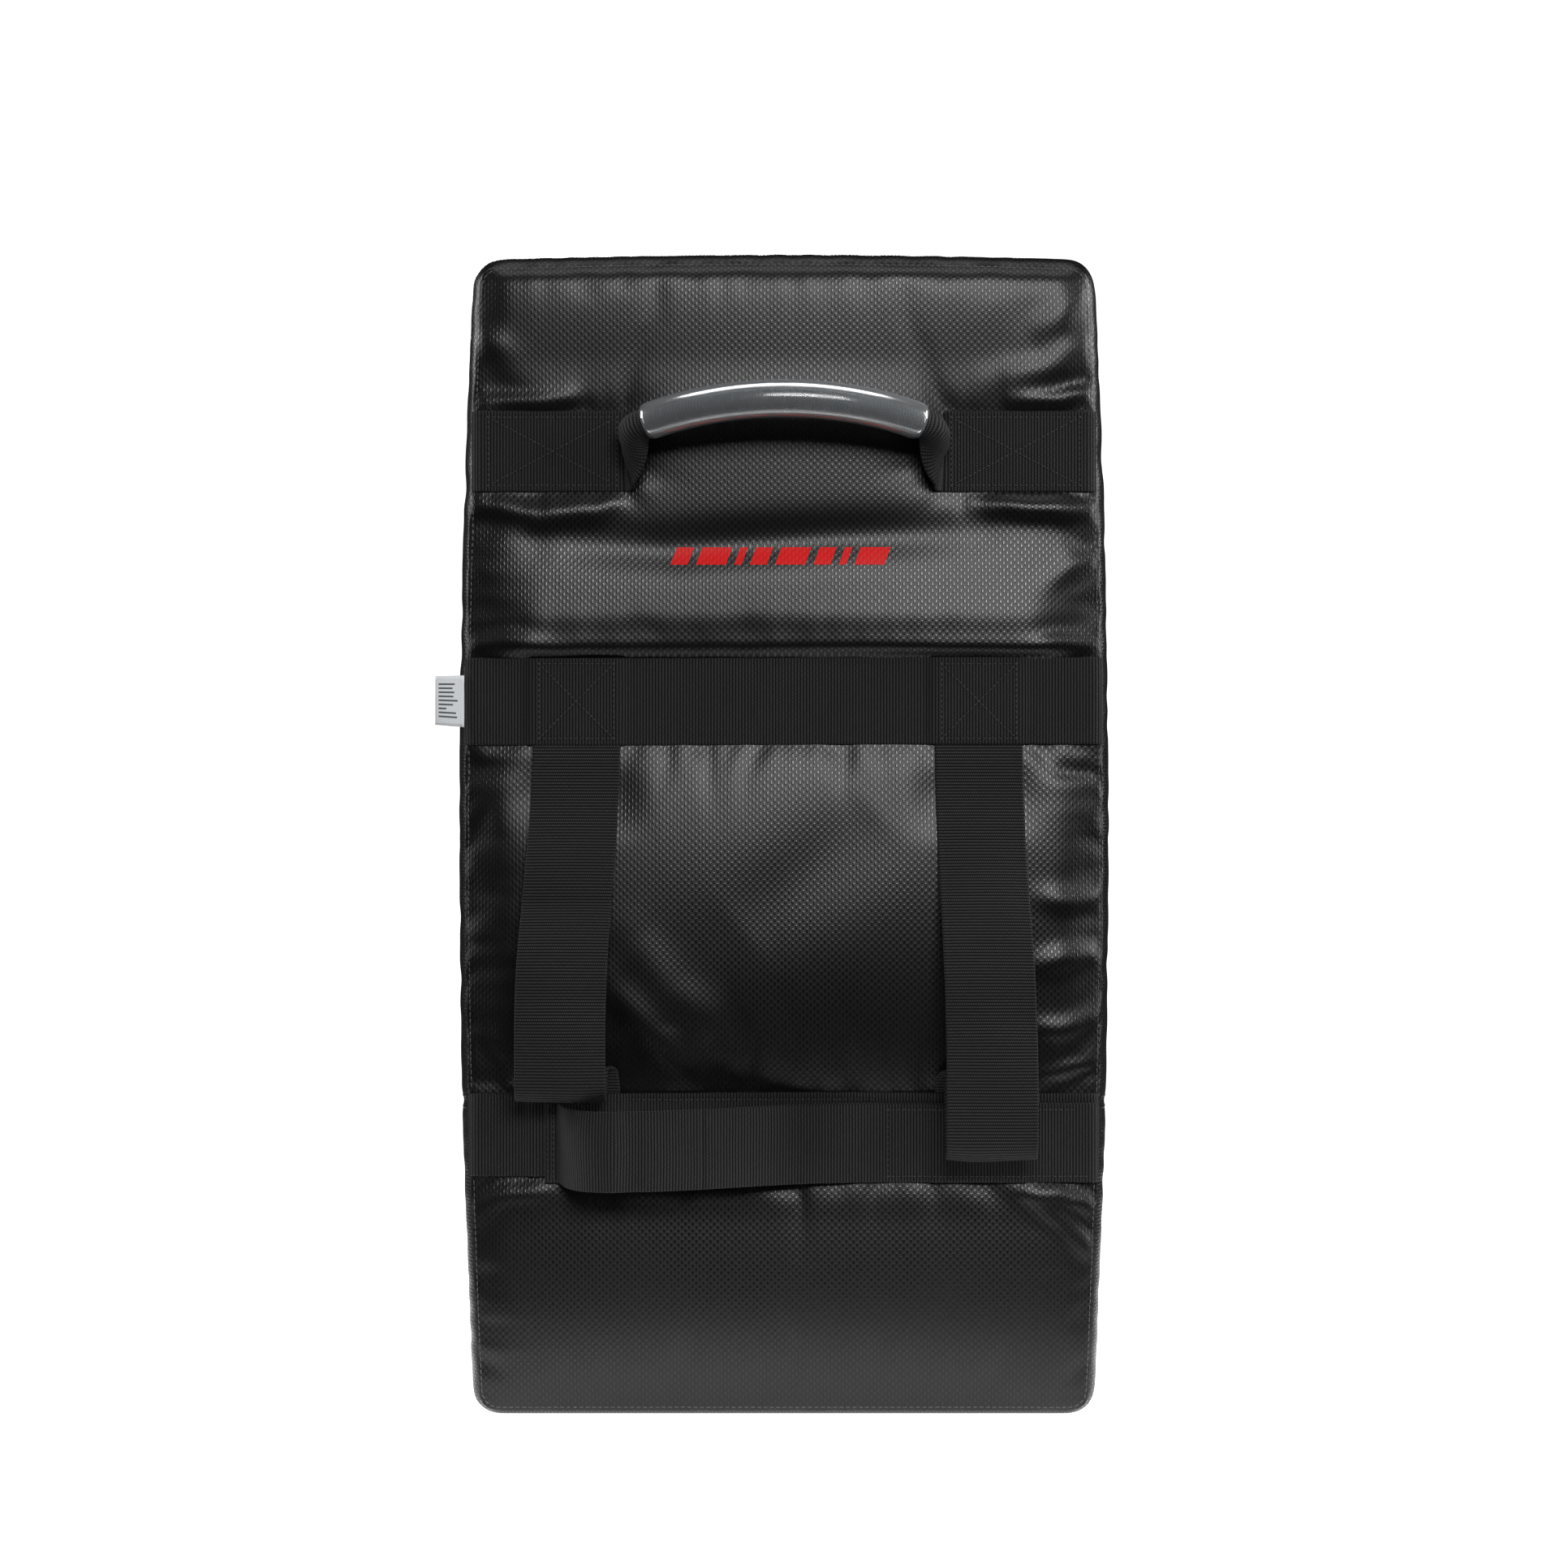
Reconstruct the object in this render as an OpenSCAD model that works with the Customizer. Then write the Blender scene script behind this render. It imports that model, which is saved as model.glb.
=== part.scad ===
// Kick shield: a foam strike pad in a sewn coated-vinyl cover, with a carry handle, two arm straps
// and a hand strap on the holder's side. It stands on its bottom gusset: +Z runs up its height,
// +X to the holder's-side right, and the striking face looks along +Y. The origin is the middle
// of the bottom face.

/* [Pad] */
// Width across the middle, where the sides bow out most
pad_w = 400; // [330:1:480]
// Height of the pad
pad_h = 720; // [600:1:864]
// Depth between the front and back seams
gusset_d = 136; // [100:1:170]
// How far the striking face swells past its seam
crown_h = 14; // [8:1:22]
// How far each side edge bows out at mid height
side_bow = 9; // [4:0.5:12]
// How far the top edge bows up in the middle
top_bow = 4; // [2:0.5:8]
// Radius of the four corners
corner_r = 20; // [12:1:40]

/* [Cover] */
// Thickness of the coated vinyl
cover_t = 1.2; // [0.8:0.1:2]
// Width of the flat rim where the front panel is sewn down
rim_w = 6; // [4:0.5:12]
// Height of the join between the lower and upper gusset strips
join_z = 194; // [120:1:260]

/* [Foam] */
// Thickness of the firm layer behind the striking face, at its edge
impact_foam_t = 25; // [12:1:40]
// Thickness of the soft layer on the holder's side
back_foam_t = 30; // [15:1:45]
// Gap between the foam and the cover's side walls and crown
foam_gap = 0.3; // [0.1:0.1:2]

/* [Webbing and thread] */
// Thickness of all the webbing
web_t = 1.8; // [1.2:0.1:2.4]
// Width of the sewing thread
thread_w = 0.7; // [0.4:0.1:1.2]
// How far the thread stands proud
thread_h = 0.3; // [0.2:0.05:0.6]
// Distance of the perimeter thread from the cover's edge
seam_inset = 3; // [2:0.5:5]
// Distance of the box stitching from the webbing's edges
stitch_inset = 4; // [2:0.5:8]

/* [Carry handle] */
// Distance of the handle's line below the top edge
handle_drop = 124; // [90:1:180]
// Width of the handle webbing where it is sewn flat
handle_web_w = 50; // [40:1:60]
// Free distance between the two sewn tabs
handle_gap = 198; // [180:1:230]
// Outer diameter of the clear grip tube
tube_d = 23; // [20:0.5:28]
// Bore of the grip tube
tube_bore = 19.2; // [16:0.2:20]
// Straight distance between the ends of the grip tube
tube_chord = 165; // [140:1:172]
// Height of the grip tube's arch over its chord
tube_rise = 21; // [12:1:30]
// How far the grip tube's ends stand from the handle's swing line
tube_end_reach = 26; // [22:1:36]
// Angle of the handle above straight out, as it lies
handle_tilt = 35; // [0:1:60]
// Diameter of the gathered webbing at the tabs
neck_d = 17; // [12:0.5:22]
// Stand-off of the handle's swing line from the back panel
swing_s = 11; // [9:0.5:16]
// Free travel of the grip tube along the webbing, each way
tube_play = 4; // [3:0.5:6]
// Gap between parts that move on each other
move_gap = 0.3; // [0.2:0.05:0.6]

/* [Cross band] */
// Distance of the cross band's middle below the top edge
cross_drop = 278; // [240:1:320]
// Width of the cross band
cross_w = 54; // [44:1:64]

/* [Arm straps] */
// Width of the arm straps
arm_w = 54; // [44:1:60]
// Distance of the left arm strap's middle from the left edge
left_arm_inset = 72; // [60:1:90]
// Distance of the right arm strap's middle from the right edge
right_arm_inset = 80; // [60:1:90]
// Lowest point of the slack left arm strap below the base band's top edge
left_arm_drop = 4; // [2:1:5]
// Lowest point of the slack right arm strap below the base band's top edge
right_arm_drop = 39; // [20:1:44]
// Stand-off of the left arm strap's front run
left_arm_s = 36; // [30:1:60]
// Stand-off of the right arm strap's front run
right_arm_s = 43; // [34:1:70]
// Stand-off of the run behind the left strap's bottom fold
left_fold_s = 13; // [12:0.5:18]
// Stand-off of the run behind the right strap's bottom fold
right_fold_s = 17; // [14:0.5:22]
// Length of each arm strap's top that stays with the pad
arm_top_fixed = 56; // [40:1:70]

/* [Base band and hand strap] */
// Height of the base band's middle above the bottom
base_z = 175; // [150:1:200]
// Width of the base band
base_w = 51; // [44:1:60]
// Height of the hand strap's middle above the bottom
hand_z = 170; // [145:1:195]
// Width of the hand strap
hand_w = 49; // [40:1:54]
// Distance of the hand strap's left sewn end from the left edge
hand_left_inset = 60; // [50:1:80]
// Distance of the hand strap's right sewn end from the right edge
hand_right_inset = 138; // [120:1:150]
// Stand-off of the hand strap's arch
hand_s = 42; // [30:1:60]

/* [Care label] */
// Free length of the label past the seam
label_l = 15; // [10:1:30]
// Height of the label
label_h = 32; // [20:1:44]
// Thickness of the folded label
label_t = 0.5; // [0.3:0.1:1]

/* [Hidden] */

big_fn = 360;          // for arcs of several metres
round_fn = 64;
hull_fn = 32;
over = 1;              // how far a cutting solid runs past what it cuts
front_y = gusset_d / 2;
back_y = -gusset_d / 2;
half_h = pad_h / 2;
bow_r = (half_h * half_h + side_bow * side_bow) / (2 * side_bow);
top_r = (pad_w * pad_w / 4 + top_bow * top_bow) / (2 * top_bow);
crown_rx = (pad_w * pad_w / 4 + crown_h * crown_h) / (2 * crown_h);
crown_rz = (half_h * half_h + crown_h * crown_h) / (2 * crown_h);

handle_z = pad_h - handle_drop;
cross_z = pad_h - cross_drop;
cross_low = cross_z - cross_w / 2;
base_top = base_z + base_w / 2;
base_low = base_z - base_w / 2;
band_inset = seam_inset + thread_w + 0.8;
left_arm_x = left_arm_inset - pad_w / 2;
right_arm_x = pad_w / 2 - right_arm_inset;
hand_left_x = hand_left_inset - pad_w / 2;
hand_right_x = pad_w / 2 - hand_right_inset;
hand_tail = 7;         // length of the hand strap's left end that is sewn flat
jog_run = 4;           // run of the ramp where a band climbs over a strap's end
vinyl = "#2b2b2c";
webbing = "#232324";

// Half the pad's width and its top edge, at a height z and at a place x
function half_w(z) = pad_w / 2 - bow_r + sqrt(bow_r * bow_r - (z - half_h) * (z - half_h));
function top_z(x) = pad_h - top_r + sqrt(top_r * top_r - x * x);

// The pad's outline seen from the front, drawn in by an inset
function corner_arc(cx, cz, r, from) = [for (a = [from:15:from + 90]) [cx + r * cos(a), cz + r * sin(a)]];
function right_outline(inset) =
    let (r = corner_r - inset,
        low_x = half_w(corner_r) - corner_r,
        high_x = half_w(pad_h - corner_r) - corner_r,
        high_z = top_z(high_x) - corner_r)
    concat(
        corner_arc(low_x, corner_r, r, -90),
        [for (k = [1:9]) let (z = corner_r + (high_z - corner_r) * k / 10) [half_w(z) - inset, z]],
        corner_arc(high_x, high_z, r, 0),
        [for (k = [1:4]) let (x = high_x * (1 - k / 4)) [x, top_z(x) - inset]]);
function flipped(points) = [for (k = [len(points) - 2:-1:0]) [-points[k][0], points[k][1]]];
function outline(inset) = let (half = right_outline(inset)) concat(half, flipped(half));

// Points along a cubic curve between p and s, drawn towards q and r
function cubic(p, q, r, s, steps) = [for (k = [0:steps]) let (t = k / steps, u = 1 - t)
    u * u * u * p + 3 * u * u * t * q + 3 * u * t * t * r + t * t * t * s];
function without_first(points) = [for (k = [1:len(points) - 1]) points[k]];

// The outline of a ribbon of thickness t whose middle follows the points
function side_of(points, k) = let (n = len(points),
    d = points[min(k + 1, n - 1)] - points[max(k - 1, 0)]) [-d[1], d[0]] / norm(d);
function ribbon(points, t) = concat(
    [for (k = [0:len(points) - 1]) points[k] + side_of(points, k) * t / 2],
    [for (k = [len(points) - 1:-1:0]) points[k] - side_of(points, k) * t / 2]);

// A prism of the pad's outline between two depths
module pad_prism(inset, y0, y1) {
    translate([0, y1, 0]) rotate([90, 0, 0]) linear_extrude(y1 - y0) polygon(outline(inset));
}

// Everything behind the crowned surface of the striking face, sunk by a depth
module crown_body(depth) {
    intersection() {
        translate([0, front_y + crown_h - crown_rx - depth, -over])
            cylinder(r = crown_rx, h = pad_h + 2 * over, $fn = big_fn);
        translate([-pad_w / 2 - over, front_y + crown_h - crown_rz - depth, half_h])
            rotate([0, 90, 0]) cylinder(r = crown_rz, h = pad_w + 2 * over, $fn = big_fn);
    }
}

// A block on the back panel, between two stand-offs from it
module on_back(x0, x1, z0, z1, s0, s1) {
    translate([x0, back_y - s1, z0]) cube([x1 - x0, s1 - s0, z1 - z0]);
}

// A profile of [stand-off, z] points, drawn out along X
module along_x(points, x0, x1) {
    translate([x0, back_y, 0]) rotate([90, 0, 90]) linear_extrude(x1 - x0)
        polygon([for (p = points) [-p[0], p[1]]]);
}

// A profile of [x, stand-off] points, drawn out along Z
module along_z(points, z0, z1) {
    translate([0, back_y, z0]) linear_extrude(z1 - z0) polygon([for (p = points) [p[0], -p[1]]]);
}

// One straight row of thread on a flat surface at stand-off s
module thread_row(x0, z0, x1, z1, s) {
    run = norm([x1 - x0, z1 - z0]);
    translate([x0, back_y - s, z0]) rotate([0, -atan2(z1 - z0, x1 - x0), 0])
        translate([-thread_w / 2, -thread_h, -thread_w / 2]) cube([run + thread_w, thread_h, thread_w]);
}

// A stitched box with a cross in it
module box_and_cross(x0, x1, z0, z1, s) {
    thread_row(x0, z0, x1, z0, s);
    thread_row(x0, z1, x1, z1, s);
    thread_row(x0, z0, x0, z1, s);
    thread_row(x1, z0, x1, z1, s);
    thread_row(x0, z0, x1, z1, s);
    thread_row(x0, z1, x1, z0, s);
}

// ---- Cover ----

module front_panel() {
    color(vinyl) difference() {
        intersection() {
            pad_prism(0, front_y - cover_t, front_y + crown_h + over);
            crown_body(0);
        }
        intersection() {
            pad_prism(rim_w, front_y - cover_t - over, front_y + crown_h + over);
            crown_body(cover_t);
        }
    }
}

module back_panel() {
    color(vinyl) pad_prism(0, back_y, back_y + cover_t);
}

module gusset_ring() {
    difference() {
        pad_prism(0, back_y + cover_t, front_y - cover_t);
        pad_prism(cover_t, back_y, front_y);
    }
}

module upper_gusset() {
    color(vinyl) intersection() {
        gusset_ring();
        translate([-pad_w, back_y, join_z]) cube([2 * pad_w, gusset_d, pad_h]);
    }
}

module lower_gusset() {
    color(vinyl) intersection() {
        gusset_ring();
        translate([-pad_w, back_y, -over]) cube([2 * pad_w, gusset_d, join_z + over]);
    }
}

module front_seam_thread() {
    color("#4a4a4c") difference() {
        intersection() {
            difference() {
                pad_prism(seam_inset, front_y - over, front_y + crown_h);
                pad_prism(seam_inset + thread_w, front_y - 2 * over, front_y + crown_h + over);
            }
            crown_body(-thread_h);
        }
        crown_body(0);
    }
}

module back_seam_thread() {
    color("#4a4a4c") difference() {
        pad_prism(seam_inset, back_y - thread_h, back_y);
        pad_prism(seam_inset + thread_w, back_y - thread_h - over, back_y + over);
    }
}

module gusset_join_thread() {
    reach = gusset_d / 2 - seam_inset;
    color("#4a4a4c") intersection() {
        difference() {
            pad_prism(-thread_h, -reach, reach);
            pad_prism(0, -gusset_d, gusset_d);
        }
        union() {
            translate([-pad_w, -gusset_d, join_z + seam_inset]) cube([2 * pad_w, 2 * gusset_d, thread_w]);
            translate([-pad_w, -gusset_d, join_z - seam_inset - thread_w])
                cube([2 * pad_w, 2 * gusset_d, thread_w]);
        }
    }
}

// ---- Foam ----

module impact_foam() {
    foam_inset = cover_t + foam_gap;
    color("#d8d4c8") union() {
        pad_prism(foam_inset, front_y - cover_t - impact_foam_t, front_y - cover_t - foam_gap);
        intersection() {
            pad_prism(rim_w + foam_gap, front_y - cover_t - impact_foam_t, front_y + crown_h);
            crown_body(cover_t + foam_gap);
        }
    }
}

module core_foam() {
    color("#efeee9") pad_prism(cover_t + foam_gap, back_y + cover_t + back_foam_t,
        front_y - cover_t - impact_foam_t);
}

module back_foam() {
    color("#c9ccd0") pad_prism(cover_t + foam_gap, back_y + cover_t, back_y + cover_t + back_foam_t);
}

// ---- Carry handle ----

handle_low = handle_z - handle_web_w / 2;
handle_high = handle_z + handle_web_w / 2;
tab_in = handle_gap / 2;
tab_out = half_w(handle_high) - band_inset;
gather_run = 6;        // length over which the flat webbing is gathered into a roll
disc_t = 0.5;          // thickness of the discs that the gathered lengths are drawn between
neck_x = tab_in - gather_run;
tube_r = (tube_chord * tube_chord / 4 + tube_rise * tube_rise) / (2 * tube_rise);
tube_half_angle = asin(tube_chord / 2 / tube_r);
roll_half_angle = tube_half_angle + tube_play / tube_r * 180 / PI;
arch_centre = tube_r - tube_end_reach - tube_rise;
roll_d = tube_bore - 2 * move_gap;
roll_end_x = tube_r * sin(roll_half_angle);
roll_end_reach = tube_r * cos(roll_half_angle) - arch_centre;

module handle_tab() {
    on_back(tab_in, tab_out, handle_low, handle_high, 0, web_t);
    hull() {
        on_back(tab_in, tab_in + disc_t, handle_low, handle_high, 0, web_t);
        translate([neck_x, back_y - swing_s, handle_z]) rotate([0, 90, 0])
            cylinder(d = neck_d, h = disc_t, $fn = hull_fn);
    }
}

module right_handle_tab() {
    color(webbing) handle_tab();
}

module left_handle_tab() {
    color(webbing) mirror([1, 0, 0]) handle_tab();
}

module tab_stitching() {
    box_and_cross(tab_in + stitch_inset, tab_out - stitch_inset, handle_low + stitch_inset,
        handle_high - stitch_inset, web_t);
    thread_row(tab_in + 2 * stitch_inset, handle_low + stitch_inset, tab_in + 2 * stitch_inset,
        handle_high - stitch_inset, web_t);
}

module handle_tab_thread() {
    color("#4a4a4c") {
        tab_stitching();
        mirror([1, 0, 0]) tab_stitching();
    }
}

// The handle's own frame: the swing line along X, and the arch reaching out along -Y
module on_handle() {
    translate([0, back_y - swing_s, handle_z]) rotate([-handle_tilt, 0, 0]) children();
}

// An arch of a 2D section about the handle's centre of curvature
module arch(half_angle) {
    translate([0, arch_centre, 0]) rotate([0, 0, -90 - half_angle])
        rotate_extrude(angle = 2 * half_angle, $fn = 180) translate([tube_r, 0]) children();
}

module neck() {
    hull() {
        translate([roll_end_x, 0, 0]) rotate([0, 90, 0])
            cylinder(d = neck_d, h = neck_x - move_gap - roll_end_x, $fn = hull_fn);
        translate([0, arch_centre, 0]) rotate([0, 0, roll_half_angle]) translate([0, -tube_r, 0])
            rotate([0, 90, 0]) cylinder(d = roll_d - move_gap, h = disc_t, $fn = hull_fn);
    }
}

module handle_webbing() {
    color(webbing) on_handle() union() {
        arch(roll_half_angle) circle(d = roll_d, $fn = round_fn);
        neck();
        mirror([1, 0, 0]) neck();
    }
}

module grip_tube() {
    color("#b9bdc0", 0.5) on_handle() arch(tube_half_angle) difference() {
        circle(d = tube_d, $fn = round_fn);
        circle(d = tube_bore, $fn = round_fn);
    }
}

// ---- Bands: each climbs over the sewn ends of the arm straps ----

// Points along a band's underside: up by one thickness over each arm strap
function climb(x, base) = [[x - arm_w / 2 - jog_run, base], [x - arm_w / 2, base + web_t],
    [x + arm_w / 2, base + web_t], [x + arm_w / 2 + jog_run, base]];
function raised(points) = [for (k = [len(points) - 1:-1:0]) points[k] + [0, web_t]];
cross_reach = half_w(cross_z) - band_inset;
base_reach = half_w(base_low) - band_inset;
cross_under = concat([[-cross_reach, 0]], climb(left_arm_x, 0), climb(right_arm_x, 0), [[cross_reach, 0]]);
base_under = concat([[-base_reach, 0]], climb(left_arm_x, 0), climb(right_arm_x, 0), [[base_reach, 0]]);

module cross_band() {
    color(webbing) along_z(concat(cross_under, raised(cross_under)), cross_low, cross_z + cross_w / 2);
}

module arm_box(x) {
    box_and_cross(x - arm_w / 2 + stitch_inset, x + arm_w / 2 - stitch_inset,
        cross_low + stitch_inset, cross_z + cross_w / 2 - stitch_inset, 2 * web_t);
}

module cross_band_thread() {
    color("#4a4a4c") {
        arm_box(left_arm_x);
        arm_box(right_arm_x);
    }
}

module base_band() {
    color(webbing) along_z(concat(base_under, raised(base_under)), base_low, base_top);
}

// Rows that hold the base band down between the straps and over their lower ends
module base_band_thread() {
    color("#4a4a4c") {
        thread_row(left_arm_x + arm_w / 2 + 2 * jog_run, base_top - stitch_inset,
            hand_right_x - 2 * jog_run, base_top - stitch_inset, web_t);
        thread_row(left_arm_x + arm_w / 2 + 2 * jog_run, base_low + stitch_inset / 2,
            hand_right_x - 2 * jog_run, base_low + stitch_inset / 2, web_t);
    }
}

// ---- Arm straps ----

// The middle line of an arm strap, in [stand-off, z]: the front run down from the cross band, the
// bottom fold, and the short run up behind it
sewn_s = web_t / 2;
function front_run(reach, bottom) =
    let (run = cross_low - bottom)
    cubic([sewn_s, cross_low], [sewn_s, cross_low - 0.25 * run], [reach, cross_low - 0.45 * run],
        [reach, cross_low - 0.72 * run], 16);
function bottom_fold(reach, fold_s, bottom) =
    let (run = cross_low - bottom,
        middle = (reach + fold_s) / 2,
        rise = (reach - fold_s) / 2)
    concat(
        cubic([reach, cross_low - 0.72 * run], [reach, bottom + 1.6 * rise],
            [reach, bottom + web_t / 2 + rise], [reach, bottom + web_t / 2 + rise], 4),
        [for (a = [-15:-15:-180]) [middle + rise * cos(a), bottom + web_t / 2 + rise + rise * sin(a)]]);
function split_z(reach, fold_s, bottom) = max(base_top + 6, bottom + web_t / 2 + (reach - fold_s) / 2 + 0.5);
function top_fold(fold_s, z) = cubic([fold_s, z], [fold_s, z + 10], [sewn_s, z + 10], [sewn_s, base_top], 12);

module arm_strap_top(x, reach, bottom) {
    points = concat([[sewn_s, cross_z + cross_w / 2]], front_run(reach, bottom));
    intersection() {
        along_x(ribbon(points, web_t), x - arm_w / 2, x + arm_w / 2);
        on_back(x - arm_w, x + arm_w, cross_low - arm_top_fixed, pad_h, -over, reach + over);
    }
}

module arm_strap_loop(x, reach, fold_s, bottom) {
    up_to = split_z(reach, fold_s, bottom) - move_gap;
    points = concat(front_run(reach, bottom), without_first(bottom_fold(reach, fold_s, bottom)),
        [[fold_s, up_to]]);
    intersection() {
        along_x(ribbon(points, web_t), x - arm_w / 2, x + arm_w / 2);
        on_back(x - arm_w, x + arm_w, 0, cross_low - arm_top_fixed - move_gap, -over, 2 * reach);
    }
}

module arm_strap_foot(x, reach, fold_s, bottom) {
    points = concat(top_fold(fold_s, split_z(reach, fold_s, bottom)), [[sewn_s, base_low]]);
    along_x(ribbon(points, web_t), x - arm_w / 2, x + arm_w / 2);
}

left_bottom = base_top - left_arm_drop;
right_bottom = base_top - right_arm_drop;

module left_arm_strap_top() {
    color(webbing) arm_strap_top(left_arm_x, left_arm_s, left_bottom);
}

module left_arm_strap() {
    color(webbing) arm_strap_loop(left_arm_x, left_arm_s, left_fold_s, left_bottom);
}

module left_arm_strap_foot() {
    color(webbing) arm_strap_foot(left_arm_x, left_arm_s, left_fold_s, left_bottom);
}

module right_arm_strap_top() {
    color(webbing) arm_strap_top(right_arm_x, right_arm_s, right_bottom);
}

module right_arm_strap() {
    color(webbing) arm_strap_loop(right_arm_x, right_arm_s, right_fold_s, right_bottom);
}

module right_arm_strap_foot() {
    color(webbing) arm_strap_foot(right_arm_x, right_arm_s, right_fold_s, right_bottom);
}

// ---- Hand strap ----

hand_low = hand_z - hand_w / 2;
hand_high = hand_z + hand_w / 2;
left_lie = 2 * web_t + web_t / 2;    // it lies on the base band where that climbs over the arm strap
right_lie = web_t + web_t / 2;
hand_arch = concat(
    [[hand_left_x - hand_tail, left_lie]],
    cubic([hand_left_x, left_lie], [hand_left_x + 6, left_lie], [hand_left_x + 2, hand_s],
        [hand_left_x + 30, hand_s], 14),
    without_first(cubic([hand_left_x + 30, hand_s], [hand_left_x + 80, hand_s],
        [hand_right_x - 70, right_lie + 3], [hand_right_x, right_lie], 20)));
hand_left_split = hand_left_x + 4.7;      // where the arch has risen clear of the bands
hand_right_split = hand_right_x - 54;

module hand_ribbon() {
    along_z(ribbon(hand_arch, web_t), hand_low, hand_high);
}

module hand_strap_left_end() {
    color(webbing) intersection() {
        hand_ribbon();
        on_back(-pad_w, hand_left_split, 0, pad_h, -over, 2 * hand_s);
    }
}

module hand_strap() {
    color(webbing) intersection() {
        hand_ribbon();
        on_back(hand_left_split + move_gap, hand_right_split - move_gap, 0, pad_h, -over, 2 * hand_s);
    }
}

module hand_strap_right_end() {
    under = concat([[hand_right_x, web_t]], climb(right_arm_x, web_t), [[base_reach, web_t]]);
    color(webbing) union() {
        intersection() {
            hand_ribbon();
            on_back(hand_right_split, hand_right_x, 0, pad_h, -over, 2 * hand_s);
        }
        along_z(concat(under, raised(under)), hand_low, hand_high);
    }
}

module hand_strap_thread() {
    low = hand_low + stitch_inset;
    high = hand_high - stitch_inset;
    left_s = 3 * web_t;
    right_s = 2 * web_t;
    box_end = right_arm_x - arm_w / 2 - 2 * jog_run;
    color("#4a4a4c") {
        thread_row(hand_left_x - hand_tail + 1.5, low, hand_left_x - hand_tail + 1.5, high, left_s);
        thread_row(hand_left_x - hand_tail + 5, low, hand_left_x - hand_tail + 5, high, left_s);
        thread_row(hand_right_x + 2, low, hand_right_x + 2, high, right_s);
        thread_row(hand_right_x + 2, high, box_end, high, right_s);
        thread_row(hand_right_x + 2, low, box_end, low, right_s);
    }
}

// ---- Care label, held by one edge in the left side seam ----

label_x = -half_w(cross_z - label_h / 2) - move_gap - label_t / 2;

module care_label() {
    color("#c4c6c8") on_back(label_x - label_l, label_x, cross_z - label_h / 2, cross_z + label_h / 2,
        0, label_t);
}

front_panel();
back_panel();
upper_gusset();
lower_gusset();
impact_foam();
core_foam();
back_foam();
front_seam_thread();
back_seam_thread();
gusset_join_thread();
left_handle_tab();
right_handle_tab();
handle_tab_thread();
handle_webbing();
grip_tube();
cross_band();
cross_band_thread();
left_arm_strap_top();
left_arm_strap();
left_arm_strap_foot();
right_arm_strap_top();
right_arm_strap();
right_arm_strap_foot();
base_band();
base_band_thread();
hand_strap_left_end();
hand_strap();
hand_strap_right_end();
hand_strap_thread();
care_label();
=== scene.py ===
import math

import bpy
import numpy as np
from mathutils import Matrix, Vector
from mathutils.bvhtree import BVHTree


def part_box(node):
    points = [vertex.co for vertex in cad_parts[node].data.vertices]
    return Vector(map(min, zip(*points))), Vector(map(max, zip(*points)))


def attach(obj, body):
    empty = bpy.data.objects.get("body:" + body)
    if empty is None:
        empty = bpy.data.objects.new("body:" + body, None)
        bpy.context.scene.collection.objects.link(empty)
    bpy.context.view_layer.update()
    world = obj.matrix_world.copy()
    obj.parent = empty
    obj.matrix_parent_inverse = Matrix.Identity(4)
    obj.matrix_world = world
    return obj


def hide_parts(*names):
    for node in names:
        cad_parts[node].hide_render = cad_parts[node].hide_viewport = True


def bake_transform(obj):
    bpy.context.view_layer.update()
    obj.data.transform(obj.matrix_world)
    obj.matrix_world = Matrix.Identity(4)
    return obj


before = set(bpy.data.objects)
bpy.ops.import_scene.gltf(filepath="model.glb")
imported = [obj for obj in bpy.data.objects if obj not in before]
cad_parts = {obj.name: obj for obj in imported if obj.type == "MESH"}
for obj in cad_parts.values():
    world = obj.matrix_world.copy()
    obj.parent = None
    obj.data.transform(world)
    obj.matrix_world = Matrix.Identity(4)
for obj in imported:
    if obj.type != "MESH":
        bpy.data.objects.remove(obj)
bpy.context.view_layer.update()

# ---- Cover ----
# The real cover is PVC-coated polyester, black and satin, embossed with rows of small ovals. A front
# panel, a back panel and two gusset strips are sewn inside out, so that each seam lies in a groove,
# and the bands sewn across the back hold it down between soft pillows. Lengths here are millimetres.


def box_mm(node):
    low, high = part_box(node)
    return np.array(low) * 1000, np.array(high) * 1000


def linear(hexcode):
    """An sRGB hex colour as the linear RGBA that a shader takes."""
    parts = [int(hexcode[k : k + 2], 16) / 255 for k in (1, 3, 5)]
    return [c / 12.92 if c <= 0.04045 else ((c + 0.055) / 1.055) ** 2.4 for c in parts] + [1.0]


def wire(tree, node, wires):
    """Give inputs of a node their values, or other nodes' outputs."""
    for key, value in wires.items():
        if isinstance(value, bpy.types.NodeSocket):
            tree.links.new(value, node.inputs[key])
        else:
            node.inputs[key].default_value = value


def add(tree, kind, wires=None, **settings):
    """A new node with its settings and links."""
    node = tree.nodes.new(kind)
    for key, value in settings.items():
        setattr(node, key, value)
    wire(tree, node, wires or {})
    return node


def material(name):
    """A new material, its tree, and its empty Principled shader."""
    m = bpy.data.materials.new(name)
    m.use_nodes = True
    shader = m.node_tree.nodes["Principled BSDF"]
    return m, m.node_tree, shader


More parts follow.
